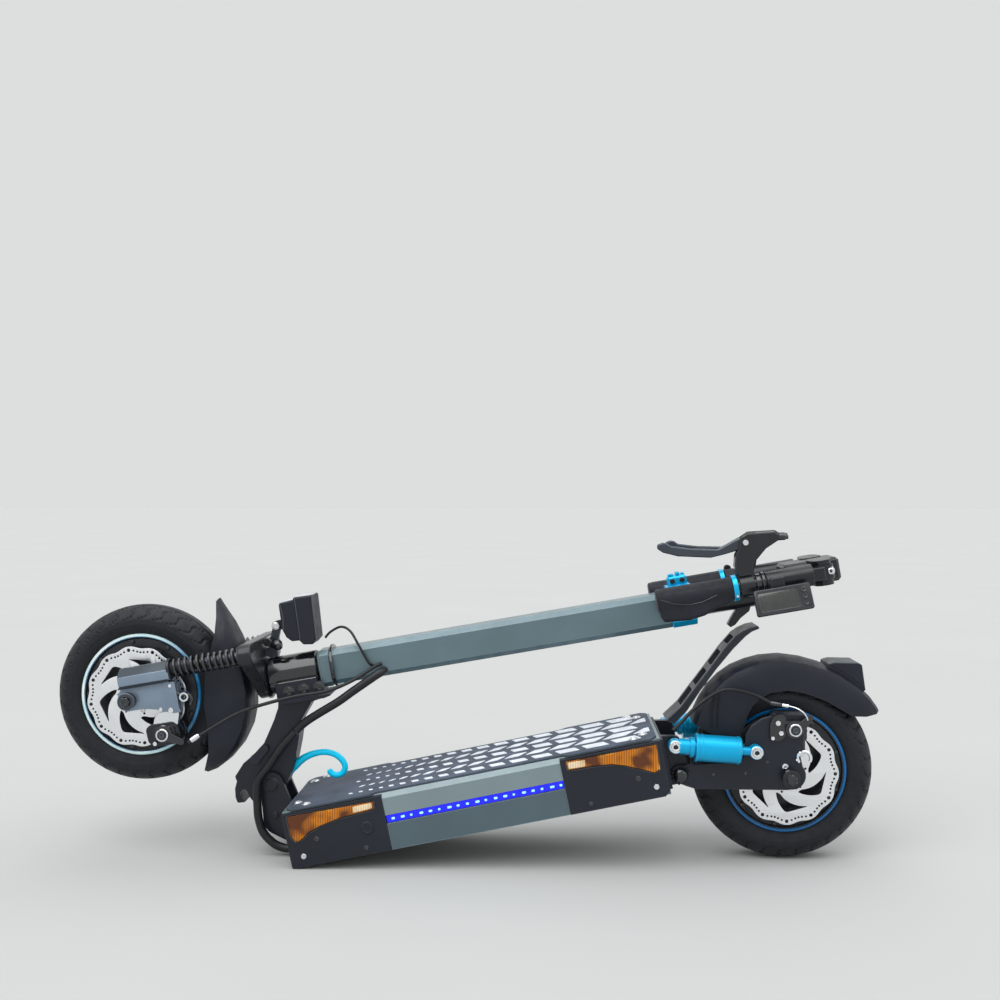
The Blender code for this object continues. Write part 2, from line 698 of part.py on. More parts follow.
# ---------------------------------------------------------------- neck with head tube
SLOT_IN = CLAW_REACH - 5.4
SLOT_OUT = CLAW_REACH + 5.4
LUG_HALF = 33.0
TUBE_R = 27.0
NECK = [(26, 194), (45, 190), (61.6, 181), (91.8, 161), (108, 140), (116, 126), (133, 110.5)]
NECK += [(140, 112), (150, 107.5), (162, 106), (171, 107.5), (172.5, 126), (168, 142)]
NECK += arc(FOLD_PIVOT, 18.5, -35, 50, 6)
NECK += [(134, 197), (100, 210), (68, 220), (44, 240), (40, 268), (36, 272), (34.5, 257), (26, 256)]
neck = prism(NECK, -NECK_HALF, NECK_HALF, bevel=1.0)
lug = prism([(8, 195), (8, 256), (34, 256), (34, 274), (38, 271), (40, 262)]
            + [(40, 206), (36, 197), (30, 195)], -LUG_HALF, LUG_HALF, bevel=1.0)
joined(neck, lug)
joined(neck, rod(TUBE_R, 185.5, 256.5, (0, 0, 0), "Z", 24, 1.0))
slot_start = atan2(-43.8, 7.6) * 180 / pi
slot = arc(FOLD_PIVOT, SLOT_OUT, slot_start, slot_start + 60, 8)
slot += arc(FOLD_PIVOT, SLOT_IN, slot_start + 60, slot_start, 8)
seat = (FOLD_PIVOT[0] + claw_rest.x, 0, FOLD_PIVOT[1] + claw_rest.z)
cutter = prism(slot, -40, 40)
joined(cutter, rod(5.4, -40, 40, seat, segments=14))
without(neck, cutter)
without(neck, rod(HINGE_PIN_R + 0.3, -60, 60, (FOLD_PIVOT[0], 0, FOLD_PIVOT[1]), segments=14))
without(neck, rod(17.4, 170, 300, (0, 0, 0), "Z", 20))
finish(neck, "neck", "black_satin", STEM, (FOLD_PIVOT[0], 0, FOLD_PIVOT[1]))

latch_at = (112.0, 145.0)
latch = prism(hull([(*latch_at, 7), (99, 163, 4.5)], 16), -24.0, -NECK_HALF - GAP)
finish(latch, "fold_latch", "black_metal", STEM, (latch_at[0], 0, latch_at[1]))

HOOK = [(-681, 0, 141), (-670, 0, 146), (-655, 0, 148), (-640, 0, 146.5), (-627, 0, 140)]
HOOK += [(-619, 0, 130), (-617, 0, 120), (-622, 0, 112.5), (-630, 0, 110.5), (-638, 0, 114)]
HOOK += [(-641, 0, 121)]
hook = hose([Vector(p) * MM for p in spline(HOOK, 2)], 4.0)
finish(hook, "bag_hook", "cyan_plastic", DECK)

# ---------------------------------------------------------------- fork
LEG = (-43.0, 75.0)
SPRING_LOW = 64.0
SPRING_HIGH = 165.0
yoke = hull([(0, 0, 30), (LEG[0], LEG[1], 16), (LEG[0], -LEG[1], 16)], 20)
crown = prism(yoke, SPRING_HIGH + GAP, 184.0, "Z", 2.0, 2)
joined(crown, rod(17.0, 175, 258.0, (0, 0, 0), "Z", 20))
for side in (-1, 1):
    centre = (LEG[0], side * LEG[1], 0)
    joined(crown, rod(7.0, 34, 175, centre, "Z", 14))
finish(crown, "fork_crown", "black_metal", STEM)

RIDE = 22.0
leg_plate = [(-33, -8), (-33, 58), (-26, 60), (-24, 69), (12, 69), (19, 71), (19, 60), (10, 38), (6, 20)]
leg_plate += [(6, -6), (-4, -14), (-18, -14), (-27, -8)]
leg = prism(leg_plate, -82, -68, bevel=1.2)
joined(leg, block((-54, -28), (-89, -62), (-8, 64), 3.0, 1))
bracket_arm = prism(hull([(34, 30, 12), (46, 46, 12), (8, 40, 8), (10, 62, 6)], 16), -76, -68.2)
joined(leg, bracket_arm)
front_caliper = block((32, 62), (-72, -37), (14, 60), 4.0, 1)
joined(front_caliper, rod(9, -78, -66, (46, 0, 40), segments=14))
caliper_cuts(front_caliper, (-AXLE_LEAD, 0, 0))
joined(leg, front_caliper)
without(leg, rod(7.4, -20, 100, (LEG[0], -LEG[1], 0), "Z", 14))
without(leg, rod(8.3, -100, 0, (-AXLE_LEAD, 0, 0), segments=14))
finish(leg, "fork_lower_near", "alloy_blue_grey", STEM)
leg = prism(leg_plate, 68, 82, bevel=1.2)
joined(leg, block((-54, -28), (62, 89), (-8, 64), 3.0, 1))
without(leg, rod(7.4, -20, 100, (LEG[0], LEG[1], 0), "Z", 14))
without(leg, rod(8.3, 0, 100, (-AXLE_LEAD, 0, 0), segments=14))
finish(leg, "fork_lower_far", "alloy_blue_grey", STEM)

axle(FRONT_AXLE_END, STEM, (-AXLE_LEAD, 0.0, 0.0), "front_axle")
FRONT_ARM = (46.0, 40.0)
lever_arm = prism(hull([(*FRONT_ARM, 8), (60, 64, 4)], 14), -82.6, -78.4)
finish(lever_arm, "front_caliper_arm", "black_metal", STEM, (FRONT_ARM[0], 0, FRONT_ARM[1]))

COILS = 11
coil = []
steps = 66
for k in range(steps + 1):
    angle = 2 * pi * COILS * k / steps
    height = SPRING_LOW + 2.6 + (SPRING_HIGH - SPRING_LOW - 5.4) * k / steps
    coil.append(Vector((LEG[0] + 13.5 * cos(angle), -LEG[1] + 13.5 * sin(angle), height)))
spring = hose([p * MM for p in coil], 2.2)
near = finish(spring, "fork_spring_near", "black_metal", STEM)
mirrored(near, "fork_spring_far")

# ---------------------------------------------------------------- stem, collar, inner tube
STEM_TOP = 800.0
HALF_X = 25.0
HALF_Y = 23.0
CUT = 7.0


def rounded_box(half_x, half_y, cut):
    corners = [(half_x, half_y - cut), (half_x - cut, half_y)]
    corners += [(cut - half_x, half_y), (-half_x, half_y - cut)]
    return corners + [(-a, -b) for a, b in corners]


stem = prism(rounded_box(HALF_X, HALF_Y, CUT), 259.0, STEM_TOP, "Z", 1.5)
joined(stem, prism(rounded_box(HALF_X + 1.5, HALF_Y + 1.5, CUT), 262, 277, "Z", 1.2))
without(stem, rod(17.5, 555, 820, (0, 0, 0), "Z", 20))
finish(stem, "stem_tube", "paint_grey", STEM)
collar_outline = [(x - 3.2, y) for x, y in rounded_box(29, 29, 8)]
collar = prism(collar_outline, 770, 806, "Z", 1.5)
joined(collar, block((-46, -28), (-11, 11), (774, 802), 3.0, 1))
without(collar, prism(rounded_box(HALF_X + GAP, HALF_Y + GAP, CUT), 700, STEM_TOP + GAP, "Z"))
without(collar, rod(17.6, 700, 900, (0, 0, 0), "Z", 20))
finish(collar, "stem_clamp_collar", "cyan_anodised", STEM)

CATCH = [(14, 866), (14, 886), (22, 882), (30, 868), (38, 859), (40.5, 852), (36, 848), (27, 855)]
inner = rod(17.0, 560, 946, (0, 0, 0), "Z", 18)
joined(inner, prism(CATCH, -7, 7, bevel=0.8))
joined(inner, block((-36, -2.4), (-30, 30), (936, 1014), 4.0, 1))
for side in (-1, 1):
    ear_hull = hull([(side * BAR_PIVOT_Y, BAR_PIVOT_Z, 13), (side * 24, BAR_PIVOT_Z, 16)], 16)
    joined(inner, prism(ear_hull, -37.4, -30.5, "X"))
    joined(inner, prism(ear_hull, -9.5, -2, "X"))
    hinge = (0, side * BAR_PIVOT_Y, BAR_PIVOT_Z)
    without(inner, rod(17.0, -30.2, -9.8, hinge, "X", 18))
    joined(inner, rod(4.5, -36, -4, hinge, "X"))
finish(inner, "inner_tube_head", "black_metal", STEM)


# ---------------------------------------------------------------- handlebars
LEVER_PIVOT = (-80.0, 884.0)
FAR_LEVER_SHIFT = (6.0, 22.0)
THROTTLE_Z = 872.0
BRACKET = [(-34, 866), (-51, 864), (-66, 868), (-72, 873), (-88, 878), (-92, 888), (-88, 926)]
BRACKET += [(-82, 933), (-76, 930), (-67, 910), (-52, 893), (-34, 887)]
BLADE = [(-97, 764), (-99, 772), (-97, 778), (-92, 783), (-84, 810), (-77, 846), (-86, 872)]
BLADE += [(-88, 884), (-84, 891), (-76, 891), (-71, 884), (-70, 868), (-68, 850), (-67, 834)]
BLADE += [(-76.5, 790), (-85, 770.5), (-91, 764)]


def shifted(outline, shift):
    return [(x + shift[0], z + shift[1]) for x, z in outline]


def bar(shift):
    """One folded bar with its hinge knuckle and clamped lever bracket."""
    y = -BAR_Y
    lift, along = shift
    tube = rod(11.0, 752.5, 968, (BAR_X, y, 0), "Z", 18)
    joined(tube, rod(15.5, 903, 968, (BAR_X, y, 0), "Z", 16, 1.0))
    knuckle = rod(15.5, -29.9, -10.1, (0, -BAR_PIVOT_Y, BAR_PIVOT_Z), "X", 18)
    joined(knuckle, block((-28.9, -11.1), (-71, -50), (955, 984), 1.0, 1))
    joined(tube, knuckle)
    if along == 0.0:
        joined(tube, rod(15.4, 866.5, 886.5, (BAR_X, y, 0), "Z", 16, 0.8))
    joined(tube, prism(shifted(BRACKET, shift), y - 9, y + 9, bevel=1.5))
    slot_cut = block((-110, -62 + lift), (y - 4.8, y + 4.8), (855 + along, 900.5 + along))
    lever_at = (LEVER_PIVOT[0] + lift, 0, LEVER_PIVOT[1] + along)
    without(slot_cut, rod(3.0, -90, 90, lever_at, segments=12))
    without(tube, slot_cut)
    without(tube, rod(4.8, -60, 60, (0, -BAR_PIVOT_Y, BAR_PIVOT_Z), "X", 14))
    return tube


def brake_lever(shift, name):
    """A blade pinned in its bracket, with its origin on the pin."""
    outline = shifted(BLADE, shift)
    pin = (LEVER_PIVOT[0] + shift[0], 0, LEVER_PIVOT[1] + shift[1])
    blade = prism(outline, -BAR_Y - 4.3, -BAR_Y + 4.3, bevel=1.6)
    without(blade, rod(3.3, -100, 0, pin, segments=12))
    return finish(blade, name, "black_metal", STEM, pin)


near_bar = bar((0.0, 0.0))
joined(near_bar, block((-27, 2), (-78.6, -70), (906, 926), 2.0, 1))
bar_pivot = (BAR_X, -BAR_PIVOT_Y, BAR_PIVOT_Z)
finish(near_bar, "handlebar_near", "black_metal", STEM, bar_pivot)
across(finish(bar(FAR_LEVER_SHIFT), "handlebar_far", "black_metal", STEM, bar_pivot))

grip = rod(16.0, 750, 861, (BAR_X, -BAR_Y, 0), "Z", 16, 2.0)
wing = [(-14, 752), (6, 752), (10, 757), (13, 790), (10, 812), (3, 830), (-2, 850), (-14, 858)]
joined(grip, prism(wing, -BAR_Y - 12, -BAR_Y + 12, bevel=4.0))
without(grip, rod(11.3, 752.2, 900, (BAR_X, -BAR_Y, 0), "Z", 18))
near = finish(grip, "grip_near", "grip_rubber", STEM)
mirrored(near, "grip_far")

brake_lever((0.0, 0.0), "brake_lever_near")
across(brake_lever(FAR_LEVER_SHIFT, "brake_lever_far"))

display = block((-18, 18), (-4.5, 4.5), (-39, 39), 2.0, 1)
display.data.transform(Matrix.Rotation(radians(-14), 4, "Z"))
display.data.transform(Matrix.Translation(Vector((4, -88.4, 918)) * MM))
finish(display, "display_unit", "black_plastic", STEM)

ring = rod(16.5, THROTTLE_Z - 8, THROTTLE_Z + 8, (BAR_X, BAR_Y, 0), "Z", 16, 1.0)
paddle = hull([(-29, THROTTLE_Z, 7), (-37, THROTTLE_Z, 5)], 16)
joined(ring, prism(paddle, 66, 76, bevel=1.0))
without(ring, rod(11.4, THROTTLE_Z - 30, THROTTLE_Z + 30, (BAR_X, BAR_Y, 0), "Z", 18))
finish(ring, "throttle_paddle", "black_plastic", STEM, (BAR_X, BAR_Y, THROTTLE_Z))

# ---------------------------------------------------------------- headlamp
TILT = (-72.0, 206.0)
post = rod(7.0, -9, 9, (-33.5, 0, 195), "Y", 20, 0.8)
arm = prism(hull([(-36, 192, 6), (TILT[0], TILT[1], 6)], 16), -4, 4, bevel=0.8)
joined(post, arm)
foot = prism(hull([(-33.5, 193, 7), (-36, 190, 7)], 16), -9, 9)
joined(post, foot)
without(post, rod(TUBE_R + GAP + 0.2, 100, 300, (0, 0, 0), "Z", 22))
without(post, block((-60, 0), (-30, 30), (150, 184.3)))
joined(post, rod(3.0, -12, 12, (TILT[0], 0, TILT[1]), segments=12))
finish(post, "headlamp_bracket", "steel", STEM)

POD = 24.0
pod_a = [(-104, 218), (-66, 217), (-54, 221), (-47, 228), (-46, 243), (-106, 243)]
pod_b = [(-109, 240), (-47, 239), (-40, 244), (-38, 257), (-44, 264), (-108, 268)]
lamp = prism(pod_a, -POD, POD, bevel=2.0)
joined(lamp, prism(pod_b, -POD - 2, POD + 2, bevel=2.0))
for side in (-1, 1):
    span = sorted((side * 4.5, side * 9.5))
    joined(lamp, prism(hull([(*TILT, 6.5), (-72, 222, 6.5)], 16), *span))
without(lamp, rod(3.4, -12, 12, (TILT[0], 0, TILT[1]), segments=12))
finish(lamp, "headlamp", "black_plastic", STEM, (TILT[0], 0, TILT[1]))


# ---------------------------------------------------------------- cables
def cable(points, radius, name, per_span=3):
    return finish(hose(spline(points, per_span), radius), name, "cable", None)


lower = [at(STEM, 80, -33.5, 213), at(STEM, 100, -35, 188), at(STEM, 122, -36.5, 167)]
lower += [at(STEM, 142, -38, 148), at(DECK, -744, -38, 97), at(DECK, -746, -38, 76)]
lower += [at(DECK, -743, -38, 57), at(DECK, -732, -38, 40), at(DECK, -719, -38, 31)]
lower += [at(DECK, -709, -38, 28.5)]
cable(lower, 6.0, "conduit_lower", 2)
upper = [at(STEM, 16.5, -24.2, 352), at(STEM, 16.5, -31, 351), at(STEM, 20, -38, 341)]
upper += [at(STEM, 36, -41, 306), at(STEM, 47, -42.5, 283), at(STEM, 60, -40, 250)]
upper += [at(STEM, 69, -36.5, 230), at(STEM, 78.5, -33.5, 215)]
cable(upper, 6.0, "conduit_upper")
front_cable = [at(STEM, 63, -78, 72), at(STEM, 52, -72, 100), at(STEM, 36, -63, 145)]
front_cable += [at(STEM, 30, -56, 190), at(STEM, 28, -50, 232), at(STEM, 28, -50.5, 273)]
front_cable += [at(STEM, 20, -44, 310), at(STEM, 8, -34, 340), at(STEM, 6, -26, 350)]
cable(front_cable, 2.5, "front_brake_cable")
rear_cable = [at(REAR, -160, -66, 62), at(REAR, -148, -58, 72), at(REAR, -122, -54, 97)]
rear_cable += [at(REAR, -88, -53, 117), at(REAR, -50, -54, 112), at(REAR, -24, -58, 100)]
rear_cable += [at(REAR, 4, -66, 96), at(REAR, 22, -68.5, 90.5)]
cable(rear_cable, 2.5, "rear_brake_cable")
lead = [at(STEM, -43, -10, 274), at(STEM, -50, -10, 283), at(STEM, -55, -13, 300)]
lead += [at(STEM, -47, -22, 314), at(STEM, -25, -29, 324), at(STEM, 0, -29, 333)]
lead += [at(STEM, 6, -25.8, 338)]
cable(lead, 1.8, "headlamp_lead")
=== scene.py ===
"""Electric kick scooter, folded: finishes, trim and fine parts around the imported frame."""
import json
from math import atan2
from math import cos
from math import pi
from math import radians
from math import sin

import bmesh
import bpy
from mathutils import Matrix
from mathutils import Vector


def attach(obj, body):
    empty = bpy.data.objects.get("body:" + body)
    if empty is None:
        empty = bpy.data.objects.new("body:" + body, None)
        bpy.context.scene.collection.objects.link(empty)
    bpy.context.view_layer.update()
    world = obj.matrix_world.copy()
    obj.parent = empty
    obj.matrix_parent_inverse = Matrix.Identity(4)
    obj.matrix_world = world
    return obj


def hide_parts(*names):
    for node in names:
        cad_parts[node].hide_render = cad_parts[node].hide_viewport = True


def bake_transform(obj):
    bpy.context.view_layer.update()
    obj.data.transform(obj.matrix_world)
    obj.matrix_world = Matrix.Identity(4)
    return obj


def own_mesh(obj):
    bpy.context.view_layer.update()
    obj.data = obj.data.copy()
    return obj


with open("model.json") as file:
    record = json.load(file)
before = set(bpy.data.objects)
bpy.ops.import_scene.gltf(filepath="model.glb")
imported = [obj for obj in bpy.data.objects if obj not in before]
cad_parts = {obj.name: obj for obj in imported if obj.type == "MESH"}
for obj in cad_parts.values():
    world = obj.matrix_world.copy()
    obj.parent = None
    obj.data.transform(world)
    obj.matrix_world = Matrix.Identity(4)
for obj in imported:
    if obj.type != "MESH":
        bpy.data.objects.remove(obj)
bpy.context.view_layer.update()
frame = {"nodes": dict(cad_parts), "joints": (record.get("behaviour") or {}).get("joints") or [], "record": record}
NODES = frame["nodes"]
JOINTS = {joint["name"]: joint for joint in frame["joints"]}
MM = 0.001

# ---------------------------------------------------------------- camera
CAMERA_AT = (0.12537, -1.7133, 0.52517)
CAMERA_TURN = (radians(89.44), 0.0, radians(2.41))

camera_data = bpy.data.cameras.new("camera")
camera_data.lens = 42.67
camera = bpy.data.objects.new("camera", camera_data)
camera.location = CAMERA_AT
camera.rotation_euler = CAMERA_TURN
bpy.context.scene.collection.objects.link(camera)
bpy.context.scene.camera = camera


# ---------------------------------------------------------------- drawing frames, in millimetres
def drawing_frame(origin, turn_y):
    """Local millimetres to row metres, for axes turned about Y at an origin."""
    return Matrix.Translation(origin) @ Matrix.Rotation(turn_y, 4, "Y") @ Matrix.Scale(MM, 4)


stem_axis = JOINTS["steering"]["axis"]
tread_axis = frame["record"]["mounts"][0]["axis"]
slide_axis = JOINTS["shock_near_slide"]["axis"]
rear_axle_at = JOINTS["rear_wheel_spin"]["pos_m"]
STEM = drawing_frame(JOINTS["steering"]["pos_m"], atan2(stem_axis[0], stem_axis[2]))
DECK = drawing_frame(rear_axle_at, atan2(tread_axis[0], tread_axis[2]))
REAR = drawing_frame(rear_axle_at, 0.0)
SHOCK = drawing_frame(JOINTS["shock_near_pivot"]["pos_m"], atan2(-slide_axis[2], slide_axis[0]))


def local(where, point_m):
    """A row point in metres, in the millimetres of a drawing frame."""
    return where.inverted() @ Vector(point_m)


FRONT_AXLE = tuple(local(STEM, JOINTS["front_wheel_spin"]["pos_m"]))
REAR_AXLE = (0.0, 0.0, 0.0)


# ---------------------------------------------------------------- material nodes
class Graph:
    """A short way to write one material's nodes."""

    def __init__(self, name):
        self.made = bpy.data.materials.new(name)
        self.made.use_nodes = True
        self.tree = self.made.node_tree
        self.shader = self.tree.nodes["Principled BSDF"]
        self.place = self.add("ShaderNodeTexCoord").outputs["Object"]

    def add(self, kind, **values):
        node = self.tree.nodes.new(kind)
        for key, value in values.items():
            if key in node.inputs:
                node.inputs[key].default_value = value
            else:
                setattr(node, key, value)
        return node

    def link(self, source, target):
        self.tree.links.new(source, target)

    def noise(self, scale, detail=3.0, stretch=None):
        """Noise over the piece, about one spot per 1/scale metres."""
        node = self.add("ShaderNodeTexNoise", Scale=scale, Detail=detail)
        source = self.place
        if stretch is not None:
            mapping = self.add("ShaderNodeMapping", Scale=stretch)
            self.link(source, mapping.inputs["Vector"])
            source = mapping.outputs["Vector"]
        self.link(source, node.inputs["Vector"])
        return node.outputs["Fac"]

    def spread(self, source, low, high, start=0.3, end=0.7):
        """The same pattern between two other values."""
        node = self.add("ShaderNodeMapRange")
        node.inputs["From Min"].default_value = start
        node.inputs["From Max"].default_value = end
        node.inputs["To Min"].default_value = low
        node.inputs["To Max"].default_value = high
        self.link(source, node.inputs["Value"])
        return node.outputs["Result"]

    def ramp(self, source, stops):
        """Colours along a pattern, from (position, colour) stops."""
        node = self.add("ShaderNodeValToRGB")
        elements = node.color_ramp.elements
        while len(elements) < len(stops):
            elements.new(0.5)
        for element, (position, colour) in zip(elements, stops):
            element.position = position
            element.color = (*colour, 1.0)
        self.link(source, node.inputs["Fac"])
        return node.outputs["Color"]

    def mix(self, factor, first, second):
        """Two colours, mixed by a pattern."""
        node = self.add("ShaderNodeMix", data_type="RGBA")
        self.link(factor, node.inputs[0])
        for source, target in ((first, node.inputs[6]), (second, node.inputs[7])):
            if isinstance(source, tuple):
                target.default_value = (*source, 1.0)
            else:
                self.link(source, target)
        return node.outputs[2]

    def bump(self, height, depth, strength=1.0):
        """Relief of a depth in metres from a pattern."""
        node = self.add("ShaderNodeBump", Strength=strength, Distance=depth)
        self.link(height, node.inputs["Height"])
        return node.outputs["Normal"]

    def painted_edge_highlight(self, colour, edge):
        """Painted highlight: a lighter colour along outer edges, standing in for light caught on their rounding.
        """
        geometry = self.add("ShaderNodeNewGeometry")
        softened = self.add("ShaderNodeBevel", samples=3, Radius=0.0012)
        likeness = self.add("ShaderNodeVectorMath", operation="DOT_PRODUCT")
        self.link(geometry.outputs["Normal"], likeness.inputs[0])
        self.link(softened.outputs["Normal"], likeness.inputs[1])
        rim = self.spread(likeness.outputs["Value"], 1.0, 0.0, 0.86, 0.985)
        return self.mix(rim, colour, edge)


def shaded(base, spread):
    """A colour and a slightly lighter and darker one."""
    return tuple(c * (1 - spread) for c in base), tuple(min(1.0, c * (1 + spread)) for c in base)


def surface(name, base, rough, metallic=0.0, vary=0.12, grain=900.0, depth=0.00003, edge=None,
            coat=0.0, patch=14.0, rough_vary=0.08, sheen=0.0, spec=0.5):
    """A finish with soft colour patches, uneven gloss, a fine grain and, if an edge colour is given, a painted
    highlight of that colour along the edges.
    """
    graph = Graph(name)
    dark, light = shaded(base, vary)
    colour = graph.ramp(graph.noise(patch, 5.0), [(0.35, dark), (0.65, light)])
    # The edge colour is a painted highlight along outer edges.
    if edge is not None:
        colour = graph.painted_edge_highlight(colour, edge)
    graph.link(colour, graph.shader.inputs["Base Color"])
    fine = graph.noise(grain, 2.0)
    low, high = max(0.02, rough - rough_vary), min(1.0, rough + rough_vary)
    graph.link(graph.spread(graph.noise(patch * 5, 4.0), low, high), graph.shader.inputs["Roughness"])
    graph.link(graph.bump(fine, depth), graph.shader.inputs["Normal"])
    graph.shader.inputs["Metallic"].default_value = metallic
    graph.shader.inputs["Coat Weight"].default_value = coat
    graph.shader.inputs["Coat Roughness"].default_value = 0.08
    graph.shader.inputs["Sheen Weight"].default_value = sheen
    graph.shader.inputs["Specular IOR Level"].default_value = spec
    return graph.made


def glowing(name, colour, strength):
    """A lit plastic with a slightly uneven glow."""
    graph = Graph(name)
    dark, light = shaded(colour, 0.25)
    glow = graph.ramp(graph.noise(400.0), [(0.3, dark), (0.7, light)])
    graph.link(glow, graph.shader.inputs["Base Color"])
    graph.link(glow, graph.shader.inputs["Emission Color"])
    graph.shader.inputs["Emission Strength"].default_value = strength
    graph.shader.inputs["Roughness"].default_value = 0.2
    return graph.made


def lens(name, base, deep, pale):
    """Coloured lamp plastic with moulded ribs, cloudy darker areas and pale patches that are painted highlights.
    """
    graph = Graph(name)
    cloud = graph.noise(24.0, 2.0)
    # The pale stop is a painted highlight.
    colour = graph.ramp(cloud, [(0.43, deep), (0.53, base), (0.61, base), (0.69, pale)])
    ribs = graph.add("ShaderNodeTexWave", Scale=95.0, Distortion=0.6)
    graph.link(graph.place, ribs.inputs["Vector"])
    shade = graph.spread(ribs.outputs["Fac"], 0.0, 0.55, 0.2, 0.8)
    graph.link(graph.mix(shade, colour, deep), graph.shader.inputs["Base Color"])
    graph.link(graph.bump(ribs.outputs["Fac"], 0.0004, 0.7), graph.shader.inputs["Normal"])
    graph.link(graph.spread(cloud, 0.12, 0.26), graph.shader.inputs["Roughness"])
    graph.shader.inputs["Coat Weight"].default_value = 0.3
    graph.shader.inputs["Specular IOR Level"].default_value = 0.3
    graph.shader.inputs["Coat Roughness"].default_value = 0.03
    graph.shader.inputs["Subsurface Weight"].default_value = 0.15
    graph.shader.inputs["Subsurface Radius"].default_value = (0.004, 0.002, 0.0005)
    return graph.made


def mat_surface(name, base):
    """Grip rubber with grit: light grains over a mottled ground."""
    graph = Graph(name)
    dark, light = shaded(base, 0.3)
    ground = graph.ramp(graph.noise(30.0, 6.0), [(0.35, dark), (0.65, light)])
    grit = graph.add("ShaderNodeTexVoronoi", Scale=900.0)
    graph.link(graph.place, grit.inputs["Vector"])
    grain = graph.spread(grit.outputs["Distance"], 1.0, 0.0, 0.12, 0.4)
    graph.link(graph.mix(grain, ground, tuple(c * 2.2 for c in base)), graph.shader.inputs["Base Color"])
    graph.link(graph.bump(grain, 0.0003, 0.8), graph.shader.inputs["Normal"])
    graph.link(graph.spread(graph.noise(60.0), 0.62, 0.88), graph.shader.inputs["Roughness"])
    return graph.made


def brushed(name, base, rough, stretch):
    """Steel with fine drawn lines."""
    graph = Graph(name)
    lines = graph.noise(260.0, 3.0, stretch)
    dark, light = shaded(base, 0.1)
    graph.link(graph.ramp(lines, [(0.2, dark), (0.8, light)]), graph.shader.inputs["Base Color"])
    cloudy = graph.noise(45.0, 4.0)
    graph.link(graph.spread(cloudy, rough * 0.7, rough * 1.4), graph.shader.inputs["Roughness"])
    graph.link(graph.bump(lines, 0.00004, 0.5), graph.shader.inputs["Normal"])
    graph.shader.inputs["Metallic"].default_value = 1.0
    return graph.made


def rim_painted_highlight(name):
    """Painted highlight: a band that runs from a pale cyan painted highlight to the ring's deeper blue across the
    wheel.
    """
    graph = Graph(name)
    split = graph.add("ShaderNodeSeparateXYZ")
    graph.link(graph.place, split.inputs["Vector"])
    # Where the painted highlight gives way to the blue, along X.
    across = graph.spread(split.outputs["X"], 0.0, 1.0, -0.44, -0.38)
    sheen = graph.noise(30.0, 3.0)
    # Pale cyan to white: the painted highlight.
    bright = graph.ramp(sheen, [(0.3, (0.62, 0.9, 0.94)), (0.7, (0.9, 1.0, 1.0))])
    graph.link(graph.mix(across, bright, (0.01, 0.22, 0.5)), graph.shader.inputs["Base Color"])
    graph.link(graph.spread(sheen, 0.12, 0.25), graph.shader.inputs["Roughness"])
    graph.shader.inputs["Metallic"].default_value = 0.3
    graph.shader.inputs["Coat Weight"].default_value = 0.6
    return graph.made


def banded_paint(name, low, high):
    """Satin paint, deeper below the light strip of the deck than above it."""
    graph = Graph(name)
    height = graph.add("ShaderNodeVectorMath", operation="DOT_PRODUCT")
    graph.link(graph.place, height.inputs[0])
    node_frame = NODES["deck_frame"].matrix_world
    height.inputs[1].default_value = tuple(node_frame.to_3x3().transposed() @ Vector(tread_axis))
    level = (DECK @ Vector((-430.0, 0.0, 56.0)) - node_frame.translation).dot(Vector(tread_axis))
    above = graph.spread(height.outputs["Value"], 0.0, 1.0, level - 0.004, level + 0.004)
    cloud = graph.noise(9.0, 5.0)
    deep = graph.ramp(cloud, [(0.35, shaded(low, 0.07)[0]), (0.65, shaded(low, 0.07)[1])])
    light = graph.ramp(cloud, [(0.35, shaded(high, 0.05)[0]), (0.65, shaded(high, 0.05)[1])])
    # Painted highlight along the edges, over both paint bands.
    graph.link(graph.painted_edge_highlight(graph.mix(above, deep, light), PAINT_EDGE_HIGHLIGHT), graph.shader.inputs["Base Color"])
    graph.link(graph.spread(graph.noise(60.0, 4.0), 0.32, 0.44), graph.shader.inputs["Roughness"])
    graph.link(graph.bump(graph.noise(1600.0, 2.0), 0.00001), graph.shader.inputs["Normal"])
    graph.shader.inputs["Metallic"].default_value = 0.2
    graph.shader.inputs["Coat Weight"].default_value = 0.15
    return graph.made
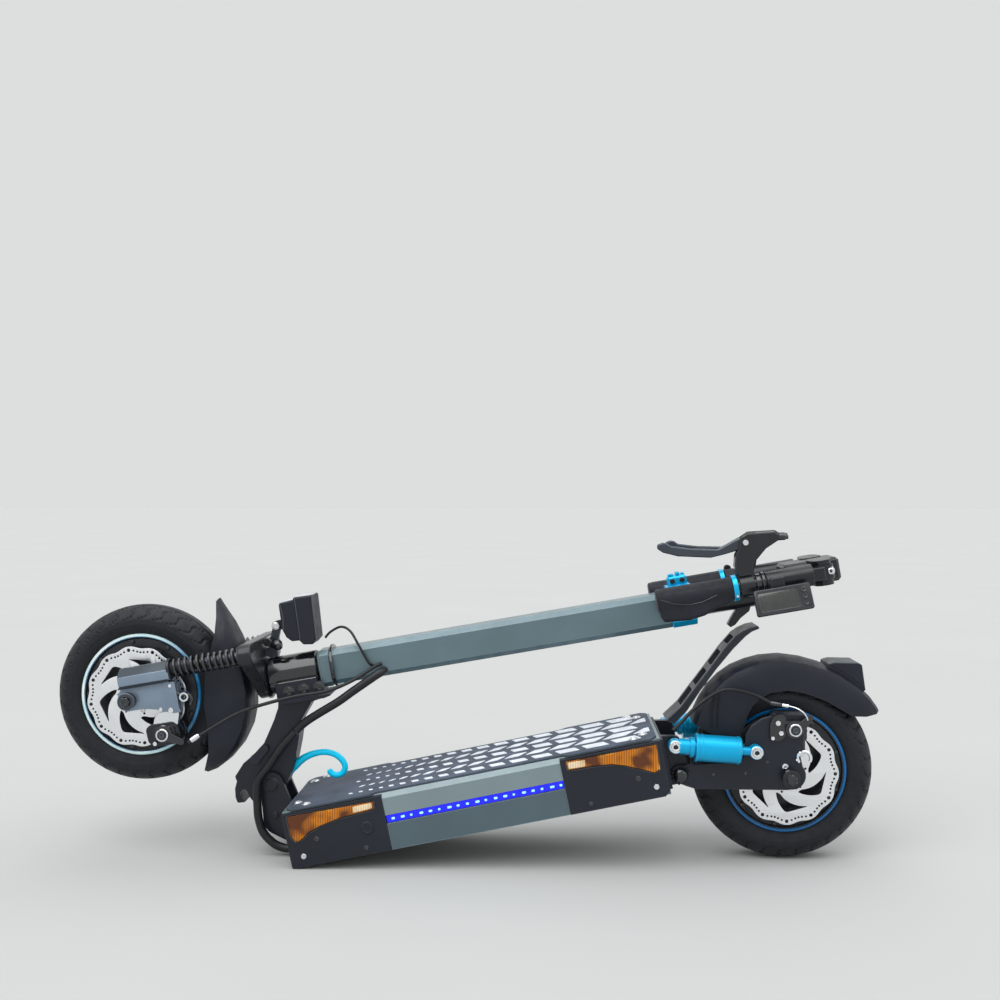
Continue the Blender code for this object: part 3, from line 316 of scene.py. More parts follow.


# Painted edge highlight colour for the grey paints.
PAINT_EDGE_HIGHLIGHT = (0.3, 0.38, 0.41)
# In each surface() call the colour given after the grain depth, where there is one, is a painted edge highlight.
LOOKS = {
    "paint_grey": surface("paint_grey", (0.105, 0.165, 0.19), 0.36, 0.25, 0.07, 1600.0, 0.00001,
                          PAINT_EDGE_HIGHLIGHT, 0.3),
    "black_satin": surface("black_satin", (0.0075, 0.0105, 0.0185), 0.44, 0.0, 0.15, 1500.0, 0.00003,
                           (0.045, 0.05, 0.062), 0.1, spec=0.35),
    "black_metal": surface("black_metal", (0.009, 0.0105, 0.014), 0.32, 0.1, 0.2, 1200.0, 0.00002,
                           (0.08, 0.085, 0.1), 0.2, spec=0.4),
    "black_gloss": surface("black_gloss", (0.006, 0.0065, 0.009), 0.18, 0.0, 0.15, 900.0, 0.00001,
                           (0.05, 0.055, 0.065), 0.7, spec=0.5),
    "black_plastic": surface("black_plastic", (0.0085, 0.0115, 0.02), 0.5, 0.0, 0.15, 1100.0, 0.00006,
                             (0.035, 0.04, 0.05), spec=0.35),
    "grey_metal": surface("grey_metal", (0.045, 0.055, 0.07), 0.3, 0.55, 0.12, 1400.0, 0.00002,
                          (0.2, 0.22, 0.26), 0.2),
    "display_grey": surface("display_grey", (0.02, 0.022, 0.027), 0.35, 0.1, 0.1, 1200.0, 0.00001,
                            (0.16, 0.17, 0.19), 0.2),
    "plate_dark": surface("plate_dark", (0.018, 0.022, 0.03), 0.4, 0.0, 0.12, 1300.0, 0.00002,
                          (0.14, 0.16, 0.2), 0.1, spec=0.3),
    # Painted light: a lighter top for the rear lamp's up-facing faces.
    "lamp_painted_top_light": surface("lamp_painted_top_light", (0.022, 0.034, 0.042), 0.4, 0.0, 0.12, 900.0, 0.00002,
                        (0.08, 0.1, 0.12)),
    "paint_deck": banded_paint("paint_deck", (0.072, 0.11, 0.132), (0.19, 0.25, 0.27)),
    "lcd": surface("lcd", (0.024, 0.03, 0.026), 0.14, 0.0, 0.25, 300.0, 0.00001, None, 0.8, patch=60.0),
    "rubber": surface("rubber", (0.006, 0.0075, 0.0115), 0.6, 0.0, 0.25, 500.0, 0.00008,
                      None, 0.0, 20.0, 0.1, 0.05, spec=0.35),
    "grip_rubber": surface("grip_rubber", (0.009, 0.011, 0.018), 0.62, 0.0, 0.2, 1800.0, 0.0001,
                           None, 0.0, 25.0, 0.1, 0.1, spec=0.3),
    "cable": surface("cable", (0.008, 0.0085, 0.011), 0.4, 0.0, 0.2, 700.0, 0.00004, spec=0.4),
    "steel": brushed("steel", (0.78, 0.79, 0.82), 0.26, (1.0, 1.0, 18.0)),
    "disc_steel": brushed("disc_steel", (0.86, 0.87, 0.89), 0.3, (6.0, 6.0, 6.0)),
    "chrome": surface("chrome", (0.84, 0.86, 0.89), 0.12, 1.0, 0.06, 300.0, 0.00001),
    "alloy_blue_grey": surface("alloy_blue_grey", (0.2, 0.26, 0.34), 0.33, 0.45, 0.1, 1300.0,
                               0.00002, (0.4, 0.46, 0.55), 0.2),
    # Painted shade: a darker alloy for the fork legs' facets facing -X.
    "alloy_painted_shade": surface("alloy_painted_shade", (0.035, 0.05, 0.066), 0.38, 0.2, 0.1, 1300.0, 0.00002,
                          (0.25, 0.3, 0.36), 0.2),
    "cyan_anodised": surface("cyan_anodised", (0.0, 0.42, 0.76), 0.3, 0.5, 0.04, 400.0, 0.000001,
                             (0.05, 0.6, 0.9), 0.25, rough_vary=0.02, spec=0.3),
    "cyan_plastic": surface("cyan_plastic", (0.0, 0.62, 0.95), 0.35, 0.0, 0.05, 900.0, 0.00002,
                            (0.02, 0.78, 1.0), spec=0.25),
    "ring_blue": surface("ring_blue", (0.0, 0.12, 0.34), 0.22, 0.4, 0.1, 900.0, 0.00001, None, 0.5),
    # Front rim band with a painted highlight on one side.
    "ring_painted_highlight": rim_painted_highlight("ring_painted_highlight"),
    # The last colour given to each lens is its painted highlight.
    "amber": lens("amber", (0.6, 0.19, 0.001), (0.1, 0.022, 0.0), (1.0, 0.46, 0.06)),
    "pale_lens": lens("pale_lens", (0.85, 0.72, 0.5), (0.6, 0.4, 0.2), (1.0, 0.93, 0.8)),
    "clear_lens": surface("clear_lens", (0.6, 0.63, 0.68), 0.1, 0.0, 0.15, 400.0, 0.00002, None, 0.9,
                          patch=80.0),
    "deck_mat": mat_surface("deck_mat", (0.052, 0.068, 0.1)),
    "mat_print": surface("mat_print", (0.66, 0.7, 0.76), 0.6, 0.0, 0.12, 700.0, 0.00012, None, 0.0,
                         60.0, 0.15),
    "led_blue": glowing("led_blue", (0.006, 0.008, 0.8), 0.62),
    "led_white": glowing("led_white", (0.22, 0.55, 1.0), 1.1),
    "battery_wrap": surface("battery_wrap", (0.03, 0.1, 0.36), 0.45, 0.0, 0.1, 500.0, 0.00003),
}


# ---------------------------------------------------------------- floor, world and light
def studio():
    """A plain pale floor and soft light from above, the front and the sides."""
    world = bpy.data.worlds.new("world")
    bpy.context.scene.world = world
    world.use_nodes = True
    sky = world.node_tree.nodes["Background"]
    sky.inputs["Color"].default_value = (0.72, 0.735, 0.73, 1.0)
    sky.inputs["Strength"].default_value = 1.0
    bm = bmesh.new()
    bmesh.ops.create_grid(bm, x_segments=4, y_segments=4, size=30.0)
    mesh = bpy.data.meshes.new("floor")
    bm.to_mesh(mesh)
    bm.free()
    floor = bpy.data.objects.new("floor", mesh)
    bpy.context.scene.collection.objects.link(floor)
    floor.location.z = -0.0005
    ground = surface("floor", (0.444, 0.4525, 0.45), 0.95, 0.0, 0.01, 200.0, 0.00001, patch=2.0)
    ground.node_tree.nodes["Principled BSDF"].inputs["Specular IOR Level"].default_value = 0.0
    mesh.materials.append(ground)
    for name, aim, spread, power in (
        ("key", (0.42, 0.62, -1.0), 55.0, 1.75),
        ("top", (-0.25, -0.2, -1.0), 80.0, 1.25),
        ("side", (-0.9, 0.5, -0.8), 60.0, 0.45),
    ):
        data = bpy.data.lights.new(name, "SUN")
        data.energy = power
        data.angle = radians(spread)
        light = bpy.data.objects.new(name, data)
        light.rotation_euler = Vector(aim).to_track_quat("-Z", "Y").to_euler()
        bpy.context.scene.collection.objects.link(light)
    bpy.context.scene.view_settings.view_transform = "Standard"


studio()


# ---------------------------------------------------------------- carried-over CAD nodes
NODE_LOOKS = {
    "paint_deck": ["deck_frame"],
    "paint_grey": ["stem_tube"],
    "battery_wrap": ["battery_pack"],
    "cyan_anodised": ["stem_clamp_collar", "shock_body_near", "shock_body_far", "shock_rod_near",
                      "shock_rod_far"],
    "plate_dark": ["kick_plate"],
    "alloy_blue_grey": ["fork_lower_far"],
    "amber": ["signal_lens_front_near", "signal_lens_front_far", "signal_lens_rear_near",
              "signal_lens_rear_far"],
    "black_satin": ["side_panel_front_near", "side_panel_front_far", "side_panel_rear_near",
                    "side_panel_rear_far", "neck", "rear_bracket", "rear_swingarm",
                    "nose_hinge_bracket", "fold_latch"],
    "black_metal": ["deck_bottom_cover", "motor_controller", "front_hub_motor", "rear_hub_motor",
                    "fork_crown", "front_axle", "rear_axle", "inner_tube_head", "handlebar_near",
                    "handlebar_far"],
    "grey_metal": ["brake_lever_near", "brake_lever_far", "headlamp_bracket"],
    "black_gloss": ["front_caliper_arm", "rear_caliper_arm"],
    "black_plastic": ["front_mudguard", "rear_mudguard", "rear_lamp", "display_unit",
                      "throttle_paddle", "headlamp"],
    "grip_rubber": ["grip_near", "grip_far"],
}
SOFT_EDGE = {"deck_frame": 0.9, "stem_tube": 1.2, "grip_near": 2.0, "grip_far": 2.0, "neck": 0.8}


def dress(node, look):
    """A CAD node in its own finish, with its facets cleaned and its edges slightly rounded."""
    item = NODES[node]
    mesh = item.data
    mesh.materials.clear()
    mesh.materials.append(LOOKS[look])
    if "custom_normal" in mesh.attributes:
        mesh.attributes.remove(mesh.attributes["custom_normal"])
    mesh.shade_smooth()
    weld = item.modifiers.new("weld", "WELD")
    weld.merge_threshold = 0.00001
    flat = item.modifiers.new("flat", "DECIMATE")
    flat.decimate_type = "DISSOLVE"
    flat.angle_limit = radians(0.5)
    flat.delimit = {"MATERIAL"}
    edge = item.modifiers.new("edge", "BEVEL")
    edge.width = SOFT_EDGE.get(node, 0.5) * MM
    edge.segments = 2
    edge.limit_method = "ANGLE"
    edge.angle_limit = radians(34)
    edge.use_clamp_overlap = True
    item.modifiers.new("shade", "WEIGHTED_NORMAL")


def repaint(node, look, where, chosen):
    """A second finish on the faces of a node that a test on their centre and normal picks."""
    item = NODES[node]
    item.data.materials.append(LOOKS[look])
    index = len(item.data.materials) - 1
    to_local = where.inverted() @ item.matrix_world
    turn = to_local.to_3x3()
    for face in item.data.polygons:
        if chosen(to_local @ face.center, (turn @ face.normal).normalized()):
            face.material_index = index


for look, names in NODE_LOOKS.items():
    for name in names:
        dress(name, look)
# Painted shade on the far fork leg's facets facing -X.
repaint("fork_lower_far", "alloy_painted_shade", STEM, lambda at, normal: at.x < -20 and normal.x < -0.5)
# Painted light on the rear lamp's up-facing faces.
repaint("rear_lamp", "lamp_painted_top_light", REAR, lambda at, normal: normal.z > 0.7)
repaint("neck", "black_gloss", STEM, lambda at, normal: at.z > 184 and at.x < 12)

# ---------------------------------------------------------------- mesh tools, in local millimetres
def loft(rings, looped=False):
    """A skin through rings of points, capped or joined end to end."""
    bm = bmesh.new()
    rows = [[bm.verts.new(point) for point in ring] for ring in rings]
    pairs = list(zip(rows, rows[1:]))
    if looped:
        pairs.append((rows[-1], rows[0]))
    else:
        bm.faces.new(rows[0][::-1])
        bm.faces.new(rows[-1])
    count = len(rows[0])
    for first, second in pairs:
        for k in range(count):
            j = (k + 1) % count
            bm.faces.new((first[k], first[j], second[j], second[k]))
    return bm


def circle_point(centre, axis, radius, along, angle):
    """A point at a radius and angle around an axis through a centre."""
    a = radius * cos(angle)
    b = radius * sin(angle)
    offset = {"X": (along, a, b), "Y": (a, along, b), "Z": (a, b, along)}[axis]
    return Vector(centre) + Vector(offset)


def turned(profile, centre, axis="Y", segments=48, looped=False):
    """A turned piece from (radius, place along the axis) points."""
    rings = []
    for radius, along in profile:
        ring = [circle_point(centre, axis, radius, along, 2 * pi * k / segments)
                for k in range(segments)]
        rings.append(ring)
    return loft(rings, looped)


def plate(outlines, low, high, bevel=0.3, axis="Y"):
    """A flat piece with rounded edges from an outline and the outlines of its holes."""
    curve = bpy.data.curves.new("outline", "CURVE")
    curve.dimensions = "2D"
    curve.fill_mode = "BOTH"
    for outline in outlines:
        spline = curve.splines.new("POLY")
        spline.points.add(len(outline) - 1)
        for point, (a, b) in zip(spline.points, outline):
            point.co = (a, b, 0.0, 1.0)
        spline.use_cyclic_u = True
    curve.extrude = (high - low) / 2 - bevel
    curve.bevel_depth = bevel
    curve.bevel_resolution = 1
    curve.offset = -bevel
    holder = bpy.data.objects.new("outline", curve)
    bpy.context.scene.collection.objects.link(holder)
    made = holder.evaluated_get(bpy.context.evaluated_depsgraph_get())
    mesh = bpy.data.meshes.new_from_object(made)
    bpy.data.objects.remove(holder)
    bm = bmesh.new()
    bm.from_mesh(mesh)
    bmesh.ops.remove_doubles(bm, verts=bm.verts, dist=0.002)
    middle = (low + high) / 2
    if axis == "Y":
        turn = Matrix.Translation((0, middle, 0)) @ Matrix.Rotation(pi / 2, 4, "X")
    else:
        turn = Matrix.Translation((0, 0, middle))
    bmesh.ops.transform(bm, matrix=turn, verts=bm.verts)
    return bm


def box_loft(x, y, z, bevel):
    """A box with rounded edges between limits on each axis."""
    outline = [(x[0], z[0]), (x[1], z[0]), (x[1], z[1]), (x[0], z[1])]
    return plate([rounded(outline, bevel, 4)], y[0], y[1], min(bevel, (y[1] - y[0]) * 0.35))


def rounded(outline, radius, steps=4):
    """A polygon with its corners rounded off."""
    points = []
    count = len(outline)
    for k in range(count):
        corner = Vector(outline[k])
        before = Vector(outline[k - 1]) - corner
        after = Vector(outline[(k + 1) % count]) - corner
        reach = min(radius, before.length * 0.45, after.length * 0.45)
        start = corner + before.normalized() * reach
        end = corner + after.normalized() * reach
        for j in range(steps + 1):
            t = j / steps
            points.append(tuple(start.lerp(corner, t).lerp(corner.lerp(end, t), t)))
    return points


def disc(centre, radius, count=20):
    return [(centre[0] + radius * cos(2 * pi * k / count),
             centre[1] + radius * sin(2 * pi * k / count)) for k in range(count)]


def pipe(path, radius, sides=14):
    """A round section swept along a path; the radius may change along it."""
    points = [Vector(p) for p in path]
    count = len(points)
    side = None
    rings = []
    for k, point in enumerate(points):
        ahead = points[min(k + 1, count - 1)]
        behind = points[max(k - 1, 0)]
        along = (ahead - behind).normalized()
        if side is None:
            side = along.orthogonal().normalized()
        side = (side - along * side.dot(along)).normalized()
        up = along.cross(side)
        wide = radius(k / (count - 1)) if callable(radius) else radius
        ring = []
        for j in range(sides):
            angle = 2 * pi * j / sides
            ring.append(point + side * wide * cos(angle) + up * wide * sin(angle))
        rings.append(ring)
    return loft(rings)


def merged(*parts):
    """Several shapes as one."""
    whole = bmesh.new()
    for part in parts:
        mesh = bpy.data.meshes.new("part")
        part.to_mesh(mesh)
        part.free()
        whole.from_mesh(mesh)
        bpy.data.meshes.remove(mesh)
    return whole


def turned_to(bm, centre, direction):
    """A shape drawn upright at the origin, set on a centre and pointed along a direction."""
    turn = Vector(direction).to_track_quat("Z", "X").to_matrix().to_4x4()
    bmesh.ops.transform(bm, matrix=Matrix.Translation(centre) @ turn, verts=bm.verts)
    return bm


def hexagon(radius, angle):
    """Distance to the side of a hexagon of that half width."""
    return radius / cos((angle % (pi / 3)) - pi / 6)


def screw(centre, radius, height, direction=(0, -1, 0), socket=0.5, washer=0.0):
    """A cap screw with a hexagonal recess, with or without a washer."""
    steps = 36
    angles = [2 * pi * k / steps for k in range(steps)]
    foot = 0.0
    parts = []
    if washer:
        rim = [(washer * 0.4, 0.01), (washer, 0.0), (washer, 0.9), (washer - 0.4, 1.2), (0.5, 1.2)]
        parts.append(turned_to(turned(rim, (0, 0, 0), "Z", steps), centre, direction))
        foot = 1.0
    profile = [(radius, foot), (radius, height * 0.7), (radius * 0.93, height * 0.92),
               (radius * 0.8, height)]
    rings = [[(r * cos(a), r * sin(a), z) for a in angles] for r, z in profile]
    for share, level in ((1.08, height), (1.0, height - 0.2), (0.96, height * 0.45)):
        rings.append([(hexagon(radius * socket * share, a) * cos(a),
                       hexagon(radius * socket * share, a) * sin(a), level) for a in angles])
    parts.append(turned_to(loft(rings), centre, direction))
    return merged(*parts)


def hex_head(centre, radius, height):
    """A hexagonal bolt head with its corners turned off and a dimple, facing the near side."""
    steps = 36
    angles = [2 * pi * k / steps for k in range(steps)]
    rings = []
    for share, level in ((1.0, 0.0), (1.0, height * 0.75)):
        rings.append([(hexagon(radius * share, a) * cos(a), hexagon(radius * share, a) * sin(a), level)
                      for a in angles])
    top = [(radius * 0.98, height * 0.95), (radius * 0.9, height), (radius * 0.45, height),
           (radius * 0.38, height * 0.8), (radius * 0.1, height * 0.75)]
    for r, z in top:
        rings.append([(r * cos(a), r * sin(a), z) for a in angles])
    return turned_to(loft(rings), centre, (0, -1, 0))


def place(bm, name, where, body, look, far=None, stands_for=(), crisp=32.0, bend=None):
    """A finished piece in row metres, smooth with crisp edges, riding its body; far adds a mirrored one.

    A bend, when given, leaves the piece unattached, its placement baked into its mesh; what the bend holds is not
    used."""
    bmesh.ops.recalc_face_normals(bm, faces=bm.faces)
    bmesh.ops.transform(bm, matrix=where, verts=bm.verts)
    jobs = [(name, body, 1.0)]
    if far is not None:
        jobs.append((name + "_far", far, -1.0))
    made = []
    for label, rider, side in jobs:
        mesh = bpy.data.meshes.new(label)
        bm.to_mesh(mesh)
        if side < 0:
            mesh.transform(Matrix.Scale(-1.0, 4, (0.0, 1.0, 0.0)))
            mesh.flip_normals()
        mesh.materials.append(LOOKS[look])
        mesh.shade_smooth()
        mesh.set_sharp_from_angle(angle=radians(crisp))
        item = bpy.data.objects.new(label, mesh)
        bpy.context.scene.collection.objects.link(item)
        if bend is None:
            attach(item, rider)
        else:
            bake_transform(item)
        made.append(item)
    bm.free()
    if stands_for:
        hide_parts(*stands_for)
    return made[0]


# ---------------------------------------------------------------- wheels
TYRE_RADIUS = 127.5
TYRE_HALF = 33.5
TYRE_BODY = 103.0
TREAD_STEPS = 720
TREAD_BLOCKS = 32


def tyre_section():
    """Angles over the tyre's section with their base points."""
    section = []
    for k in range(53):
        angle = radians(-124 + 248 * k / 52)
        y = TYRE_HALF * (1 if angle > 0 else -1) * abs(sin(angle)) ** 0.86
        reach = TYRE_RADIUS - TYRE_BODY if cos(angle) > 0 else 27.0
        section.append((angle, y, TYRE_BODY + reach * cos(angle)))
    return section


def tread_depth(angle, turn):
    """How far the tread is cut back at an angle over the section and a turn round the wheel."""
    off = abs(angle) * 180 / pi
    depth = 0.0
    if 11.0 < off < 19.0:
        depth = 2.0
    if 22.0 < off < 78.0:
        zig = (off - 22.0) / 56.0
        bend = zig * 1.25 + 0.3 * sin(zig * 2 * pi)
        phase = (turn * TREAD_BLOCKS / (2 * pi) - bend + (0.5 if angle > 0 else 0.0)) % 1.0
        if phase < 0.16:
            depth = max(depth, 2.2 * (1 - zig * 0.35))
    if 84.0 < off < 87.0 or 98.0 < off < 101.0:
        depth = max(depth, 0.5)
    if 103.0 < off < 113.0:
        depth = max(depth, 0.25 + 0.25 * cos(turn * 180))
    return depth


def tyre(centre, where, body, name, node):
    section = tyre_section()
    inner = [(27.0, 86.9), (20.0, 92.0), (-20.0, 92.0), (-27.0, 86.9)]
    rings = []
    for k in range(TREAD_STEPS):
        turn = 2 * pi * k / TREAD_STEPS
        ring = []
        for angle, y, r in section:
            cut = tread_depth(angle, turn)
            ring.append(circle_point(centre, "Y", r - cut * cos(angle), y - cut * sin(angle), turn))
        for y, r in inner:
            ring.append(circle_point(centre, "Y", r, y, turn))
        rings.append(ring)
    place(loft(rings, True), name, where, body, "rubber", stands_for=(node,), crisp=50.0)


def rotor(centre, where, body, prefix):
    """A scalloped disc with drilled rows and swept windows, on a bolted carrier."""
    teeth = 12
    outline = []
    for k in range(360):
        angle = 2 * pi * k / 360
        swing = (k * teeth / 360) % 1.0
        notch = 3.0 * (0.5 - 0.5 * cos(2 * pi * swing)) ** 1.3
        outline.append((centre[0] + (72 - notch) * cos(angle), centre[2] + (72 - notch) * sin(angle)))
    holes = [outline]
    for k in range(teeth):
        for share, reach, size in ((0.0, 67.0, 2.5), (0.2, 65.6, 1.5), (0.36, 64.0, 1.5),
                                   (0.5, 63.4, 1.5), (0.64, 64.0, 1.5), (0.8, 65.6, 1.5)):
            angle = 2 * pi * (k + share) / teeth
            at = (centre[0] + reach * cos(angle), centre[2] + reach * sin(angle))
            holes.append(disc(at, size, 12)[::-1])
    for k in range(6):
        start = 2 * pi * k / 6
        window = []
        for t in (0.0, 0.25, 0.5, 0.75, 1.0):
            window.append((30 + 25 * t, start + 0.50 * t))
        for t in (1.0, 0.75, 0.5, 0.25, 0.0):
            window.append((30 + 25 * t, start + 0.50 * t + 0.2 + 0.42 * t))
        corners = [(centre[0] + r * cos(a), centre[2] + r * sin(a)) for r, a in window]
        holes.append(rounded(corners, 5.0, 3)[::-1])
    for k in range(12):
        angle = 2 * pi * (k + 0.5) / 12
        size = 2.6 if k % 2 else 1.6
        reach = 57.5 if k % 2 else 26.5
        at = (centre[0] + reach * cos(angle), centre[2] + reach * sin(angle))
        if k % 2 == 0:
            holes.append(disc(at, size, 12)[::-1])
    place(plate(holes, -47.9, -46.1, 0.25), prefix + "_disc", where, body, "disc_steel",
          stands_for=(prefix + "_brake_rotor",))
    hub = [(9.0, -34.4), (28.0, -34.4), (28.0, -44.0), (26.0, -46.0), (9.0, -46.0)]
    place(turned(hub, centre, "Y", 64, True), prefix + "_disc_carrier", where, body, "black_metal")
    bolts = []
    for k in range(6):
        angle = 2 * pi * (k + 0.25) / 6
        at = circle_point(centre, "Y", 21.5, -47.9, angle)
        bolts.append(screw(at, 3.4, 2.6))
    place(merged(*bolts), prefix + "_disc_bolts", where, body, "steel")


def rim_trim(centre, where, body, prefix, band, line):
    """Coloured rings round the rim on both sides, hub cover screws and a valve."""
    ring = [(83.2, -27.6), (87.2, -27.6), (87.5, -28.4), (86.6, -29.3), (83.8, -29.3), (83.0, -28.4)]
    place(turned(ring, centre, "Y", 160, True), prefix + "_rim_band", where, body, band, far=body)
    thin = [(82.2, -27.4), (82.9, -27.4), (82.9, -28.2), (82.2, -28.2)]
    place(turned(thin, centre, "Y", 160, True), prefix + "_rim_line", where, body, line, far=body)
    heads = []
    for k in range(9):
        angle = 2 * pi * (k + 0.5) / 9
        heads.append(screw(circle_point(centre, "Y", 77.0, -27.6, angle), 2.6, 1.8))
    place(merged(*heads), prefix + "_cover_screws", where, body, "black_gloss", far=body)
    stem = [(2.6, 0.0), (2.6, 4.0), (3.2, 4.2), (3.2, 11.0), (2.2, 12.5)]
    valve = turned_to(turned(stem, (0, 0, 0), "Z", 20),
                      circle_point(centre, "Y", 74.0, -26.8, 2.2), (0.8, -0.42, 0.43))
    place(valve, prefix + "_valve", where, body, "rubber")


for prefix, centre, where in (("rear", REAR_AXLE, REAR), ("front", FRONT_AXLE, STEM)):
    body = prefix + "_wheel"
    tyre(centre, where, body, prefix + "_tyre_tread", prefix + "_tyre")
    rotor(centre, where, body, prefix)
rim_trim(REAR_AXLE, REAR, "rear_wheel", "rear", "ring_blue", "black_gloss")
# The front band carries the painted highlight.
rim_trim(FRONT_AXLE, STEM, "front_wheel", "front", "ring_painted_highlight", "ring_blue")

# ---------------------------------------------------------------- fork springs
SPRING_X = -43.0
SPRING_Y = -75.0


def spring(side):
    """A wound wire between its seats."""
    coils = 11.5
    steps = 420
    path = []
    for k in range(steps + 1):
        t = k / steps
        ends = min(1.0, min(t, 1 - t) * 9)
        along = 66.5 + 97.0 * (t + 0.012 * (1 - ends) * (1 if t < 0.5 else -1))
        angle = 2 * pi * coils * t
        path.append((SPRING_X + 11.3 * cos(angle), side * SPRING_Y + 11.3 * sin(angle), along))
    name = "fork_spring_near" if side > 0 else "fork_spring_far"
    item = place(pipe(path, 2.1, 12), name + "_wire", STEM, "steering_column", "black_gloss",
                 stands_for=(name,), crisp=60.0)
    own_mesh(item)


for side in (1, -1):
    spring(side)
sleeve = [(7.7, 60.0), (9.0, 60.0), (9.0, 96.0), (8.4, 97.5), (7.7, 97.5)]
place(turned(sleeve, (SPRING_X, SPRING_Y, 0), "Z", 32, True), "fork_rod_sleeve", STEM, "fork_slider",
      "black_plastic", far="fork_slider")
bright = [(7.05, 116.0), (7.25, 116.0), (7.25, 165.0), (7.05, 165.0)]
place(turned(bright, (SPRING_X, SPRING_Y, 0), "Z", 32, True), "fork_rod_chrome", STEM,
      "steering_column", "grey_metal", far="steering_column")
for name, low, high, body in (("lower", 62.4, 66.2, "fork_slider"),
                              ("upper", 163.6, 168.0, "steering_column")):
    seat = [(8.2, low), (14.2, low), (14.6, low + 0.6), (14.6, high - 0.6), (14.2, high), (8.2, high)]
    place(turned(seat, (SPRING_X, SPRING_Y, 0), "Z", 40, True), "fork_spring_seat_" + name, STEM,
          body, "black_metal", far=body)

# ---------------------------------------------------------------- deck
tiles = []
for row in range(5):
    y = -68.0 + 34.0 * row
    x = -604.0 + (8.0 if row % 2 else 0.0)
    while x < -184.0:
        share = max(0.0, (x + 560.0) / 374.0)
        long = 5.5 + 32.5 * share
        wide = 5.5 + 18.5 * share ** 0.75
        lean = (0.75 if row % 2 else -0.35) * wide
        corners = [(x, y - wide / 2), (x + long, y - wide / 2), (x + long + lean, y + wide / 2),
                   (x + lean, y + wide / 2)]
        corners = [(min(a, -174.5), b) for a, b in corners]
        if x < -190.0:
            tiles.append(plate([rounded(corners, 1.2, 2)], 94.4, 95.5, 0.25, "Z"))
        x += long + 9.0 + 2.0 * share
place(merged(*tiles), "mat_tiles", DECK, "deck", "mat_print")
mat_outline = [(-693, -80), (-684, -93), (-569, -93), (-564, -86), (-300, -86), (-295, -93),
               (-178, -93), (-169, -82)]
mat_outline += [(x, -y) for x, y in mat_outline[::-1]]
place(plate([rounded(mat_outline, 4, 3)], 92.4, 94.8, 0.5, "Z"), "mat_sheet", DECK, "deck",
      "deck_mat", stands_for=("deck_mat",))
heads = []
for x, y in ((-680, -62), (-680, 62), (-664, -80), (-664, 80), (-186, -60), (-186, 60), (-200, -78),
             (-200, 78)):
    heads.append(screw((x, y, 94.8), 5.2, 2.4, (0, 0, 1), 0.5, 6.8))
place(merged(*heads), "mat_screws", DECK, "deck", "steel")
strip = box_loft((-555, -306), (-93.9, -91.2), (51.2, 61.2), 1.2)
place(strip, "side_light_strip", DECK, "deck", "led_blue", far="deck")
dots = []
for k in range(19):
    x = -548.0 + 13.1 * k
    dots.append(box_loft((x, x + 4.6 + 1.4 * sin(k * 2.3)), (-94.4, -93.5), (54.6, 57.6), 1.2))
place(merged(*dots), "side_light_dots", DECK, "deck", "led_white", far="deck")
FRONT_LENS = [(-691.5, 88.5), (-691.5, 59), (-686, 49), (-678.5, 49), (-664, 58), (-648, 64),
              (-633, 67), (-615, 70), (-592, 71.5), (-566.8, 73), (-565.6, 86)]
REAR_LENS = [(-298.5, 88.5), (-298.5, 73.6), (-262, 72.5), (-237, 70), (-219, 64.5), (-198, 55),
             (-182, 47.4), (-172, 50.6), (-170, 87.5)]
rims = []
for outline in (FRONT_LENS, REAR_LENS):
    middle = Vector((sum(x for x, z in outline), sum(z for x, z in outline))) / len(outline)
    outer = rounded(outline, 3.0, 3)
    inner = [tuple(Vector(p) + (middle - Vector(p)).normalized() * 1.7) for p in outer]
    rims.append(plate([outer, inner[::-1]], -97.7, -96.3, 0.25))
place(merged(*rims), "lens_rims", DECK, "deck", "black_gloss", far="deck")
front_window = [(-598, 74.8), (-571, 76.2), (-570.5, 83.4), (-597, 83)]
rear_window = [(-295, 76.6), (-272, 75.8), (-271, 84.6), (-295, 85)]
windows = [plate([rounded(w, 1.5, 3)], -97.9, -97.1, 0.2) for w in (front_window, rear_window)]
place(merged(*windows), "lens_windows", DECK, "deck", "pale_lens", far="deck")
silver = [screw((x, -96.4, z), 3.8, 1.6, socket=0.45) for x, z in ((-677.6, 29), (-183, 29.5))]
place(merged(*silver), "panel_screws_bright", DECK, "deck", "steel", far="deck")
dark = [screw((-655, -96.4, 49), 3.6, 1.3, socket=0.5), screw((-205, -96.4, 45), 3.6, 1.3, socket=0.5),
        screw((-590, -96.4, 24), 3.0, 1.0), screw((-275, -96.4, 24), 3.0, 1.0)]
place(merged(*dark), "panel_screws_dark", DECK, "deck", "black_gloss", far="deck")
bump = [(9.5, 0.0), (9.2, 1.6), (8.0, 2.4), (6.4, 2.5), (6.0, 2.0), (0.5, 2.0)]
port = turned_to(turned(bump, (0, 0, 0), "Z", 32), (-583, -96.2, 51), (0, -1, 0))
place(port, "charge_port_cap", DECK, "deck", "black_plastic")

